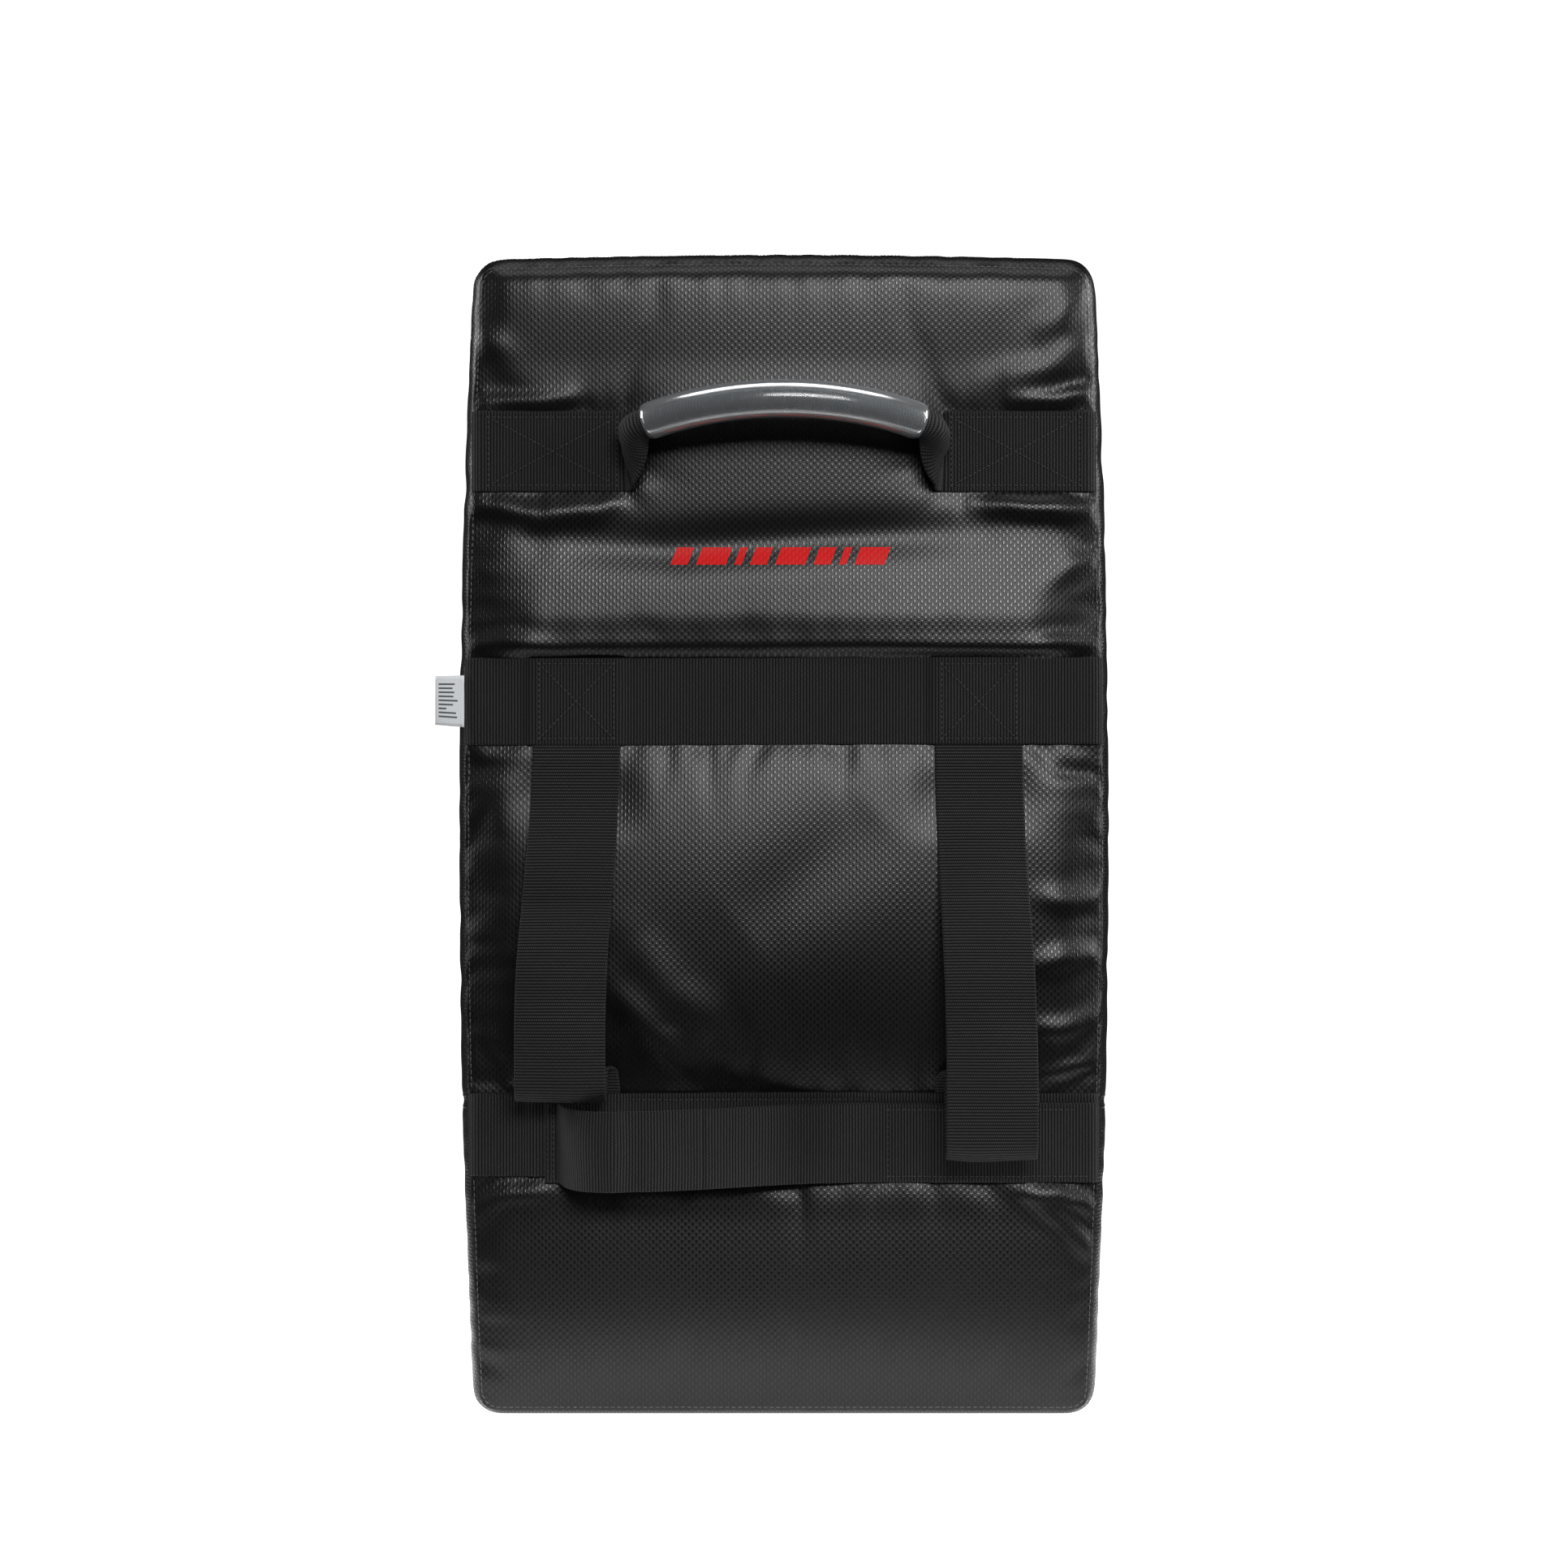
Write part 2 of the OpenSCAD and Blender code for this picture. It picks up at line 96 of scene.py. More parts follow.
def piece(name, points_mm, faces, uv=None, finish=None, smooth=True):
    """A mesh object from points in millimetres; uv holds one pair in metres for each face corner."""
    mesh = bpy.data.meshes.new(name)
    mesh.from_pydata((np.asarray(points_mm, float) * 0.001).tolist(), [], faces)
    if uv is not None:
        mesh.uv_layers.new(name="cloth").data.foreach_set("uv", np.asarray(uv, np.float32).ravel())
    mesh.polygons.foreach_set("use_smooth", np.full(len(mesh.polygons), smooth))
    mesh.update()
    obj = bpy.data.objects.new(name, mesh)
    bpy.context.scene.collection.objects.link(obj)
    if finish is not None:
        mesh.materials.append(finish)
    return obj


# The pad's outline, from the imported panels: sides and top bow out
back_low, back_high = box_mm("back_panel")
front_high = box_mm("front_panel")[1]
half_width, pad_top = back_high[0], back_high[2]
panel_y = -back_low[1]
side_radius, top_radius = 7204.5, 5002.0
seam_in_side, seam_in_top, seam_in_bottom = 3.0, 6.0, 4.0   # how far the seams sit inside the outline
swell_side, swell_top, swell_bottom = 4.2, 6.6, 4.0          # how far the gusset stands out from its seams
seam_y = panel_y - 2.2                                       # depth at which the seams lie
join_z = box_mm("lower_gusset")[1][2]


def side_at(z):
    return half_width - side_radius + np.sqrt(side_radius**2 - (z - pad_top / 2) ** 2)


def top_at(x):
    return pad_top - top_radius + np.sqrt(top_radius**2 - x**2)


def smooth(t):
    t = np.clip(t, 0, 1)
    return t * t * (3 - 2 * t)


def outline(side_in, top_in, bottom_in, corner):
    """The four edges of the outline, each from corner to corner: bottom, right, top, left."""
    low_x = side_at(bottom_in + corner) - side_in - corner
    low_z = bottom_in + corner
    high_x = side_at(pad_top - corner) - side_in - corner
    high_z = top_at(high_x) - top_in - corner

    def arc(cx, cz, start, stop):
        a = np.radians(np.linspace(start, stop, 12))
        return np.stack([cx + corner * np.cos(a), cz + corner * np.sin(a)], 1)

    x, z = np.linspace(-1, 1, 60)[1:-1], np.linspace(low_z, high_z, 80)[1:-1]
    right_side = np.stack([side_at(z) - side_in, z], 1)
    bottom = [arc(-low_x, low_z, 225, 270), np.stack([x * low_x, 0 * x + bottom_in], 1), arc(low_x, low_z, 270, 315)]
    right = [arc(low_x, low_z, -45, 0), right_side, arc(high_x, high_z, 0, 45)]
    top = [arc(-high_x, high_z, 135, 90), np.stack([x * high_x, top_at(x * high_x) - top_in], 1),
           arc(high_x, high_z, 90, 45)]
    edges = [np.concatenate(e) for e in (bottom, right, top)]
    return edges + [edges[1] * [-1, 1]]


def distances(line):
    """How far along a line each of its points is."""
    return np.concatenate([[0], np.cumsum(np.linalg.norm(np.diff(line, axis=0), axis=1))])


def along(line, shares):
    """Points at these shares of a line's length."""
    run = distances(line)
    return np.stack([np.interp(np.array(shares) * run[-1], run, line[:, k]) for k in range(line.shape[1])], 1)


def spaced(length, step, near=(0, 1.3, 3.2, 6.2, 10.2)):
    """Shares of a length, close together near both ends, where the cover rolls into its seams."""
    inner = np.linspace(near[-1], length - near[-1], round((length - 2 * near[-1]) / step) + 1)
    return np.concatenate([near[:-1], inner, length - np.array(near[:-1])[::-1]]) / length


def panel_grid(edges, across, up):
    """A grid of points that fills the outline."""
    bottom, right, top, left = edges
    b, t = along(bottom, across), along(top, across)
    l, r = along(left, up), along(right, up)
    u, v = across[None, :, None], up[:, None, None]
    return ((1 - v) * b + v * t + (1 - u) * l[:, None] + u * r[:, None]
            - (1 - u) * (1 - v) * b[0] - u * (1 - v) * b[-1] - (1 - u) * v * t[0] - u * v * t[-1])


across = spaced(2 * half_width - 8, 5.0)
up = spaced(pad_top - 10, 5.0)
deep = spaced(2 * seam_y, 5.4)
corner_radius = 13.0
grid = panel_grid(outline(seam_in_side, seam_in_top, seam_in_bottom, corner_radius), across, up)
rows, cols = grid.shape[:2]
gx, gz = grid[..., 0], grid[..., 1]
to_side = np.abs(side_at(gz) - seam_in_side - np.abs(gx))
to_top = np.abs(top_at(gx) - seam_in_top - gz)
to_bottom = np.abs(gz - seam_in_bottom)
roll = 2.2 * np.maximum.reduce([np.exp(-d / 2.4) for d in (to_side, to_top, to_bottom)])

# Where the back panel is held down: under both handle tabs, the cross band and the base band
tab_low, tab_high = box_mm("right_handle_tab")
cross_low, cross_high = box_mm("cross_band")
base_low, base_high = box_mm("base_band")
left_arm_low, left_arm_high = box_mm("left_arm_strap")
right_arm_low, right_arm_high = box_mm("right_arm_strap")
arm_half = (left_arm_high[0] - left_arm_low[0]) / 2
left_arm_x, right_arm_x = (left_arm_low[0] + left_arm_high[0]) / 2, (right_arm_low[0] + right_arm_high[0]) / 2
tab_in = 99.0                                                # where each handle tab ends, from the middle
held = [(-half_width, half_width, cross_low[2], cross_high[2]), (-half_width, half_width, base_low[2], base_high[2]),
        (tab_in, half_width, tab_low[2], tab_high[2]), (-half_width, -tab_in, tab_low[2], tab_high[2])]
sewn = np.zeros((rows, cols), bool)
sewn[[0, -1]] = sewn[:, [0, -1]] = True
for x0, x1, z0, z1 in held:
    sewn |= (gx > x0 - 0.5) & (gx < x1 + 0.5) & (gz > z0 - 0.5) & (gz < z1 + 0.5)


def inflate(load, pinned, turns=2600):
    """The height of a membrane held at the pinned points and pushed out by a load."""
    h = np.zeros_like(load)
    dx = np.diff(gx, axis=1)[1:-1]
    dz = np.diff(gz, axis=0)[:, 1:-1]
    wl, wr = 1 / dx[:, :-1] ** 2, 1 / dx[:, 1:] ** 2
    wd, wu = 1 / dz[:-1] ** 2, 1 / dz[1:] ** 2
    total = wl + wr + wd + wu
    free = ~pinned[1:-1, 1:-1]
    for _ in range(turns):
        inner = (wl * h[1:-1, :-2] + wr * h[1:-1, 2:] + wd * h[:-2, 1:-1] + wu * h[2:, 1:-1]
                 + load[1:-1, 1:-1]) / total
        h[1:-1, 1:-1] = np.where(free, inner, 0)
    return h


# The foam is squeezed up against the cross band from above, and swells out of it and slopes away below
load = np.full((rows, cols), 0.0013)
load *= 1 - 0.75 * smooth((gz - cross_high[2]) / 8) * smooth((610 - gz) / 40)
back_pillow = inflate(load, sewn)
towards = np.clip((550 - gz) / 74, 0, 1)
back_pillow += (9.0 * towards**1.3 * smooth((gz - cross_high[2] + 0.5) / 4.5) * smooth(to_side / 46)
                * (0.86 + 0.14 * np.sin(gx / 58 - 0.4)))
below = np.clip((cross_low[2] - gz) / (cross_low[2] - base_high[2]), 0, 1)
back_pillow += 4.6 * np.sin(np.pi * below**1.1) * (below > 0) * (below < 1) * smooth(to_side / 30)
back_pillow += 5.5 * smooth((gz - 628) / 82) * smooth(to_top / 9) * smooth(to_side / 20)
under = np.clip((base_low[2] - gz) / (base_low[2] - seam_in_bottom), 0, 1)
back_pillow += 2.2 * np.sin(np.pi * under**1.3) * (under > 0) * smooth(to_side / 24)


def fold(path, width, height, lean=0.0):
    """A soft ridge, or with a negative height a valley, along a path on the panel. It dies away at its ends."""
    path = np.array(path, float)
    run = distances(path)
    best, place = np.full(gx.shape, 1e9), np.zeros(gx.shape)
    for k in range(len(path) - 1):
        step = path[k + 1] - path[k]
        t = np.clip(((gx - path[k, 0]) * step[0] + (gz - path[k, 1]) * step[1]) / (step @ step), 0, 1)
        ox, oz = gx - path[k, 0] - t * step[0], gz - path[k, 1] - t * step[1]
        d = np.hypot(ox, oz)
        signed = d * np.where(step[0] * oz - step[1] * ox > 0, 1 - lean, 1 + lean)
        near = d < np.abs(best)
        best = np.where(near, signed, best)
        place = np.where(near, (run[k] + t * (run[k + 1] - run[k])) / run[-1], place)
    return height * np.exp(-((best / width) ** 2)) * np.sin(np.pi * np.clip(place, 0.04, 0.96)) ** 0.6


def puckers(place, reach, depth, seed):
    """Small gathers along a seam, from its slack stitching: place runs along it and reach is the distance from it."""
    wander = 9 * np.sin(place / 47 + seed) + 6 * np.sin(place / 19 + 2.3 * seed)
    size = 0.5 + 0.5 * np.sin(place / 61 + 1.7 * seed) * np.sin(place / 23 + 0.6 * seed)
    wave = np.sin((place + wander) * 2 * np.pi / 21) + 0.5 * np.sin((place - wander) * 2 * np.pi / 12.5 + seed)
    return depth * size * wave * np.exp(-reach / 15) * (1 - np.exp(-reach / 4))


back_folds = 2.3 * sum([
    fold([(118, 564), (150, 561), (195, 560)], 6, 2.6),                 # under the right tab
    fold([(-196, 566), (-150, 556), (-116, 560), (-88, 574)], 7, 1.8),  # under the left tab
    fold([(-150, 540), (-70, 536), (30, 543), (120, 546)], 13, -2.0),   # hollow under the handle
    fold([(196, 636), (170, 629), (140, 628)], 4, 1.8),                 # above the right tab
    fold([(-196, 628), (-160, 627), (-120, 630)], 4, 1.2),              # above the left tab
    fold([(196, 668), (160, 646), (128, 640)], 10, 1.6),
    fold([(196, 700), (168, 676), (150, 664)], 9, 1.2),
    fold([(-196, 672), (-170, 656)], 8, 1.0),
    fold([(196, 476), (170, 479), (150, 477)], 4, 1.4),
    fold([(-196, 476), (-172, 480), (-150, 478)], 4, 1.4),
    fold([(196, 530), (176, 524), (160, 512)], 6, 1.0),
    fold([(-108, 268), (-84, 240), (-52, 210)], 9, 2.0, 0.3),           # drawn up to the base band
    fold([(-96, 300), (-70, 262), (-20, 226)], 14, 1.2),
    fold([(196, 324), (176, 318), (156, 322)], 6, 1.4),
    fold([(196, 286), (172, 284), (150, 278)], 7, 1.6),
    fold([(196, 248), (170, 240), (150, 242)], 6, 1.6),
    fold([(196, 222), (176, 216), (158, 212)], 4, 1.2),
    fold([(-196, 300), (-180, 296)], 6, 0.9),
    fold([(60, 376), (10, 330), (-30, 300)], 26, -1.2),
    fold([(196, 128), (168, 138), (140, 140)], 5, 1.8),                 # under the base band
    fold([(196, 96), (172, 122), (150, 136)], 6, 1.4),
    fold([(-196, 130), (-172, 138), (-140, 140)], 5, 1.2),
    fold([(-110, 140), (-60, 139), (0, 141)], 5, 0.9),
])
edge_gathers = (puckers(gz, to_side, 0.9, np.sign(gx) + 3.1) + puckers(gx, to_top, 0.6, 0.4)
                + puckers(gx, to_bottom, 0.6, 5.2))
for x0, x1, z0, z1 in held:                                              # and gathers along each held edge
    inside = smooth((gx - x0 + 8) / 8) * smooth((x1 + 8 - gx) / 8)
    for edge, way in ((z0, -1), (z1, 1)):
        off = (gz - edge) * way
        edge_gathers += np.where(off > 0, puckers(gx, np.abs(off), 0.55, edge) * inside, 0)
keep_down = np.clip(np.minimum.reduce([np.maximum(np.maximum(x0 - gx, gx - x1), np.maximum(z0 - gz, gz - z1))
                                       for x0, x1, z0, z1 in held]) / 6, 0, 1)
under_strap = sum(smooth((arm_half + 22 - np.abs(gx - x0)) / 26) * smooth((gz - 352) / 42)
                  for x0 in (left_arm_x, right_arm_x))
back_pillow *= 1 - 0.8 * under_strap * (gz < cross_low[2])
back_height = back_pillow + (back_folds + edge_gathers) * smooth(keep_down) * smooth(to_side / 5)

# The striking face is one broad crown that falls off quickly towards its seams
crown = ((front_high[1] - panel_y) * (1 - np.exp(-to_side / 34)) * (1 - np.exp(-to_top / 30))
         * (1 - np.exp(-to_bottom / 30)))
front_folds = 1.5 * sum([
    fold([(196, 232), (150, 214), (110, 176)], 9, 1.3), fold([(196, 196), (158, 170), (130, 132)], 10, 1.6),
    fold([(196, 150), (166, 118), (140, 80)], 11, 1.5), fold([(196, 104), (172, 72)], 9, 1.2),
    fold([(-196, 322), (-150, 314), (-118, 318)], 7, 1.3), fold([(-196, 280), (-160, 290), (-128, 288)], 7, 1.1),
    fold([(-196, 128), (-150, 118)], 8, 0.8), fold([(196, 372), (170, 364)], 7, 0.8),
    fold([(-196, 250), (-164, 244)], 6, 0.9),
])
front_height = crown + (front_folds + puckers(gz, to_side, 0.7, np.sign(gx) + 7.4)
                        + puckers(gx, to_top, 0.6, 2.9) + puckers(gx, to_bottom, 0.6, 8.8)) * smooth(to_side / 5)


def edge_of(rows, cols):
    """The (row, column) of each point round a grid's edge, counted from the lower left corner."""
    return ([(0, i) for i in range(cols - 1)] + [(j, cols - 1) for j in range(rows - 1)]
            + [(rows - 1, i) for i in range(cols - 1, 0, -1)] + [(j, 0) for j in range(rows - 1, 0, -1)])


def cells_of(rows, cols):
    """The four corners of each cell of a grid, as (row, column)."""
    return [[(j, i), (j, i + 1), (j + 1, i + 1), (j + 1, i)] for j in range(rows - 1) for i in range(cols - 1)]


# The loop of seam points that both panels and the gusset share
loop = edge_of(rows, cols)
rim = np.array([grid[j, i] for j, i in loop])
count = len(rim)
tangent = np.roll(rim, -1, 0) - np.roll(rim, 1, 0)
tangent /= np.linalg.norm(tangent, axis=1)[:, None]
outward = np.stack([tangent[:, 1], -tangent[:, 0]], 1)
for _ in range(2):
    outward = outward + np.roll(outward, 1, 0) + np.roll(outward, -1, 0)
outward /= np.linalg.norm(outward, axis=1)[:, None]
run = distances(np.vstack([rim, rim[:1]]))
swell = np.where(outward[:, 1] > 0, swell_top, swell_bottom) * outward[:, 1] ** 2 + swell_side * outward[:, 0] ** 2

back_grid = np.stack([gx, -panel_y - back_height + roll, gz], -1).reshape(-1, 3)
front_grid = np.stack([gx, panel_y + front_height - roll, gz], -1).reshape(-1, 3)
rings = []
for share in deep[1:-1]:
    y = (2 * share - 1) * seam_y
    e = min(share, 1 - share) * 2 * seam_y
    standing = swell * (1 - math.exp(-e / 4.5)) + 1.6 * outward[:, 0] ** 2 * math.sin(math.pi * share)
    soft = puckers(run[:-1], e, 0.7, 1.3 if share < 0.5 else 6.1) * (outward[:, 1] > -0.6)
    groove = -1.1 * np.exp(-(((rim[:, 1] - join_z) / 3.0) ** 2))
    out = (standing + soft + groove)[:, None] * outward
    rings.append(np.stack([rim[:, 0] + out[:, 0], np.full(count, y), np.maximum(rim[:, 1] + out[:, 1], 0)], 1))
cover_points = np.vstack([back_grid, front_grid, *rings])


def at(side, j, i):
    return side * rows * cols + j * cols + i


back_rim = [at(0, j, i) for j, i in loop]
front_rim = [at(1, j, i) for j, i in loop]
ring_ids = [back_rim]
ring_ids += [[2 * rows * cols + k * count + q for q in range(count)] for k in range(len(rings))] + [front_rim]
faces, panel_of, uv = [], [], []
for corners in cells_of(rows, cols):
    for side, order in ((0, corners), (1, corners[::-1])):
        faces.append([at(side, a, b) for a, b in order])
        panel_of.append(1 - side)
        uv += [grid[a, b] / 1000 for a, b in order]
for k in range(len(ring_ids) - 1):
    for q in range(count):
        r = (q + 1) % count
        faces.append([ring_ids[k][q], ring_ids[k + 1][q], ring_ids[k + 1][r], ring_ids[k][r]])
        panel_of.append(3 if (rim[q, 1] + rim[r, 1]) / 2 < join_z else 2)
        u0, u1 = run[q] / 1000, run[q + 1] / 1000
        v0, v1 = deep[k] * 2 * seam_y / 1000, deep[k + 1] * 2 * seam_y / 1000
        uv += [(u0, v0), (u0, v1), (u1, v1), (u1, v0)]
cover = piece("cover", cover_points, faces, uv)


def read(items, what, wide, kind=float):
    """One value of every vertex or face corner of a mesh, as an array this wide."""
    values = np.zeros(len(items) * wide, kind)
    items.foreach_get(what, values)
    return values.reshape(-1, wide)


# The cloth simulation lets the slack vinyl gather between its stitched lines, and the cap keeps its shape
slack, pressure, furthest, last_frame = -0.012, 4.0, 2.3, 20
pinned = cover.vertex_groups.new(name="stitched")
on_rim = set(back_rim) | set(front_rim)
flat = [at(0, j, i) for j in range(rows) for i in range(cols) if sewn[j, i]]
floor_ids = [2 * rows * cols + k * count + q
             for k in range(len(rings)) for q in range(count) if outward[q, 1] < -0.7]
pinned.add(sorted(on_rim | set(flat) | set(floor_ids)), 1.0, "REPLACE")
cloth = cover.modifiers.new("Cloth", "CLOTH")
s = cloth.settings
s.quality, s.mass = 4, 0.3
s.tension_stiffness = s.compression_stiffness = 25
s.shear_stiffness, s.bending_stiffness = 12, 2.0
s.tension_damping = s.compression_damping = s.shear_damping = 15
s.air_damping = 5
s.use_pressure, s.uniform_pressure_force = True, pressure
s.shrink_min = slack
s.vertex_group_mass = "stitched"
s.effector_weights.gravity = 0
cloth.collision_settings.use_collision = False
cloth.point_cache.frame_start, cloth.point_cache.frame_end = 1, last_frame
for f in range(1, last_frame + 1):
    bpy.context.scene.frame_set(f)
done = cover.evaluated_get(bpy.context.evaluated_depsgraph_get())
moved = read(done.data.vertices, "co", 3) * 1000 - cover_points
size = np.maximum(np.linalg.norm(moved, axis=1), 1e-6)
moved *= (furthest * np.tanh(size / furthest) / size)[:, None]
high = cover_points[:, 2]                                         # tauter at both ends and round the gusset
taut = 1 - 0.65 * smooth((high - 625) / 30) - 0.5 * smooth((140 - high) / 20)
taut *= 1 - 0.7 * (high > cross_high[2]) * smooth((cross_high[2] + 26 - high) / 14)
taut[2 * rows * cols:] *= 0.45
moved *= taut[:, None]
cover.modifiers.remove(cloth)
bpy.context.scene.frame_set(1)
settled = cover_points + moved
settled[:, 2] = np.maximum(settled[:, 2], 0)
cover.data.vertices.foreach_set("co", (settled * 0.001).ravel())
cover.data.update()

rounding = cover.modifiers.new("Subdivision", "SUBSURF")
rounding.levels = rounding.render_levels = 1
mesh = cover.evaluated_get(bpy.context.evaluated_depsgraph_get()).data
fine = read(mesh.vertices, "co", 3) * 1000
normals = read(mesh.vertices, "normal", 3)
fine_faces = read(mesh.loops, "vertex_index", 1, int).reshape(-1, 4)
fine_uv = read(mesh.uv_layers[0].data, "uv", 2).reshape(-1, 4, 2)
fine_panel = np.repeat(panel_of, 4)
fine[:, 2] = np.maximum(fine[:, 2], 0)
bpy.data.objects.remove(cover)

# Black coated vinyl: the calendered skin is satin and its embossing breaks up the light into rows of dots
vinyl_black = "#0e0e10"
# The embossed ovals are 1.5 mm apart across and 3 mm up; they are drawn half as large again, so that they show
oval_across, oval_up, oval_depth = 2.2e-3, 4.3e-3, 0.085e-3


def embossing(tree):
    """The height of the embossed ovals: upright, in columns staggered by half a step, on the piece's own UV."""
    uv = add(tree, "ShaderNodeUVMap", uv_map="cloth")
    xyz = add(tree, "ShaderNodeSeparateXYZ", {0: uv.outputs[0]})
    column = add(tree, "ShaderNodeMath", {0: xyz.outputs[0], 1: 1 / oval_across}, operation="MULTIPLY")
    number = add(tree, "ShaderNodeMath", {0: column.outputs[0]}, operation="FLOOR")
    turn = add(tree, "ShaderNodeMath", {0: column.outputs[0], 1: 2 * math.pi}, operation="MULTIPLY")
    wave = add(tree, "ShaderNodeMath", {0: turn.outputs[0]}, operation="COSINE")
    across = add(tree, "ShaderNodeMapRange", {0: wave.outputs[0], 1: 0.75, 2: -0.7, 3: 0.0, 4: 1.0},
                 interpolation_type="SMOOTHSTEP")
    stagger = add(tree, "ShaderNodeMath", {0: number.outputs[0], 1: math.pi}, operation="MULTIPLY")
    climb = add(tree, "ShaderNodeMath", {0: xyz.outputs[1], 1: 2 * math.pi / oval_up, 2: stagger.outputs[0]},
                operation="MULTIPLY_ADD")
    upright = add(tree, "ShaderNodeMath", {0: climb.outputs[0]}, operation="COSINE")
    tall = add(tree, "ShaderNodeMapRange", {0: upright.outputs[0], 1: -0.75, 2: 0.7, 3: 0.0, 4: 1.0},
               interpolation_type="SMOOTHSTEP")
    return add(tree, "ShaderNodeMath", {0: across.outputs[0], 1: tall.outputs[0]}, operation="MULTIPLY")


coated_vinyl, tree, shader = material("Coated vinyl, embossed satin black")
ovals = embossing(tree)
coords = add(tree, "ShaderNodeTexCoord")
cloudy = add(tree, "ShaderNodeTexNoise",
             {"Vector": coords.outputs["Object"], "Scale": 9.0, "Detail": 4.0, "Roughness": 0.55})
grain = add(tree, "ShaderNodeTexNoise", {"Vector": coords.outputs["Object"], "Scale": 1400.0, "Detail": 2.0})
tint = add(tree, "ShaderNodeMix", {0: cloudy.outputs[0], 6: linear(vinyl_black), 7: linear("#151517")},
           data_type="RGBA")
# The gaps between the ovals are painted near black, as painted shade in the recesses.
painted_gap_shade = add(tree, "ShaderNodeMix", {0: ovals.outputs[0], 6: linear("#020202"), 7: tint.outputs[2]}, data_type="RGBA")
rough = add(tree, "ShaderNodeMapRange", {0: cloudy.outputs[0], 1: 0.3, 2: 0.7, 3: 0.22, 4: 0.31})
worn = add(tree, "ShaderNodeMath", {0: grain.outputs[0], 1: 0.06, 2: rough.outputs[0]}, operation="MULTIPLY_ADD")
rougher = add(tree, "ShaderNodeMapRange", {0: ovals.outputs[0], 1: 0.0, 2: 0.6, 3: 0.46, 4: worn.outputs[0]})
height = add(tree, "ShaderNodeMath", {0: grain.outputs[0], 1: 0.12, 2: ovals.outputs[0]}, operation="MULTIPLY_ADD")
relief = add(tree, "ShaderNodeBump", {"Height": height.outputs[0], "Strength": 1.0, "Distance": oval_depth})
wire(tree, shader, {"Base Color": painted_gap_shade.outputs[2], "Roughness": rougher.outputs[0], "Normal": relief.outputs[0],
                    "IOR": 1.5})

cover_thickness = 0.8
for index, name in enumerate(("front_panel_cover", "back_panel_cover", "upper_gusset_cover", "lower_gusset_cover")):
    chosen = np.nonzero(fine_panel == index)[0]
    quads, corner_uv = fine_faces[chosen], fine_uv[chosen]
    used, local = np.unique(quads, return_inverse=True)
    local = local.reshape(-1, 4)
    n = len(used)
    outer, inner = fine[used], fine[used] - normals[used] * cover_thickness
    edges = np.concatenate([local[:, [k, (k + 1) % 4]] for k in range(4)])
    key = np.sort(edges, 1) @ [n, 1]
    _, first, times = np.unique(key, return_index=True, return_counts=True)
    border = edges[first[times == 1]]
    walls = np.stack([border[:, 1], border[:, 0], border[:, 0] + n, border[:, 1] + n], 1)
    all_faces = np.concatenate([local, local[:, ::-1] + n, walls])
    all_uv = np.concatenate([corner_uv, corner_uv[:, ::-1], np.zeros((len(walls), 4, 2))])
    part = piece(name, np.vstack([outer, inner]), all_faces.tolist(), all_uv, coated_vinyl)
    sharp = part.data.attributes.new("sharp_edge", "BOOLEAN", "EDGE")
    rim_points = set(border.ravel().tolist())
    marks = [e.vertices[0] in rim_points and e.vertices[1] in rim_points for e in part.data.edges]
    sharp.data.foreach_set("value", marks)
    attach(part, "shield")
    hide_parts(name.removesuffix("_cover"))

# ---- Foam ----
# Three layers are glued into one block and pushed into the cover: firm cross-linked foam behind the striking
# face, a thick open-cell core, and a soft layer on the holder's side. Each is cut from sheet, so that its
# sides show cells.


def foam_finish(name, fresh, cell, wall, cell_mm):
    """Cut foam: pale skin between small round cells of this size, which are painted darker as painted shade in their
    hollows.
    """
    m, tree, shader = material(name)
    coords = add(tree, "ShaderNodeTexCoord")
    cells = add(tree, "ShaderNodeTexVoronoi", {"Vector": coords.outputs["Object"], "Scale": 1000 / cell_mm})
    depth = add(tree, "ShaderNodeMapRange", {0: cells.outputs[0], 1: 0.1, 2: 0.6, 3: 0.0, 4: 1.0})
    # The cells are painted darker than the walls between them, as painted shade in their hollows.
    colour = add(tree, "ShaderNodeMix", {0: depth.outputs[0], 6: linear(cell), 7: linear(wall)}, data_type="RGBA")
    aged = add(tree, "ShaderNodeTexNoise", {"Vector": coords.outputs["Object"], "Scale": 6.0, "Detail": 3.0})
    worn = add(tree, "ShaderNodeMix", {0: aged.outputs[0], 6: colour.outputs[2], 7: linear(fresh)}, data_type="RGBA")
    relief = add(tree, "ShaderNodeBump", {"Height": depth.outputs[0], "Strength": 0.8, "Distance": 0.0004})
    wire(tree, shader, {"Base Color": worn.outputs[2], "Normal": relief.outputs[0], "Roughness": 0.95, "IOR": 1.45})
    return m


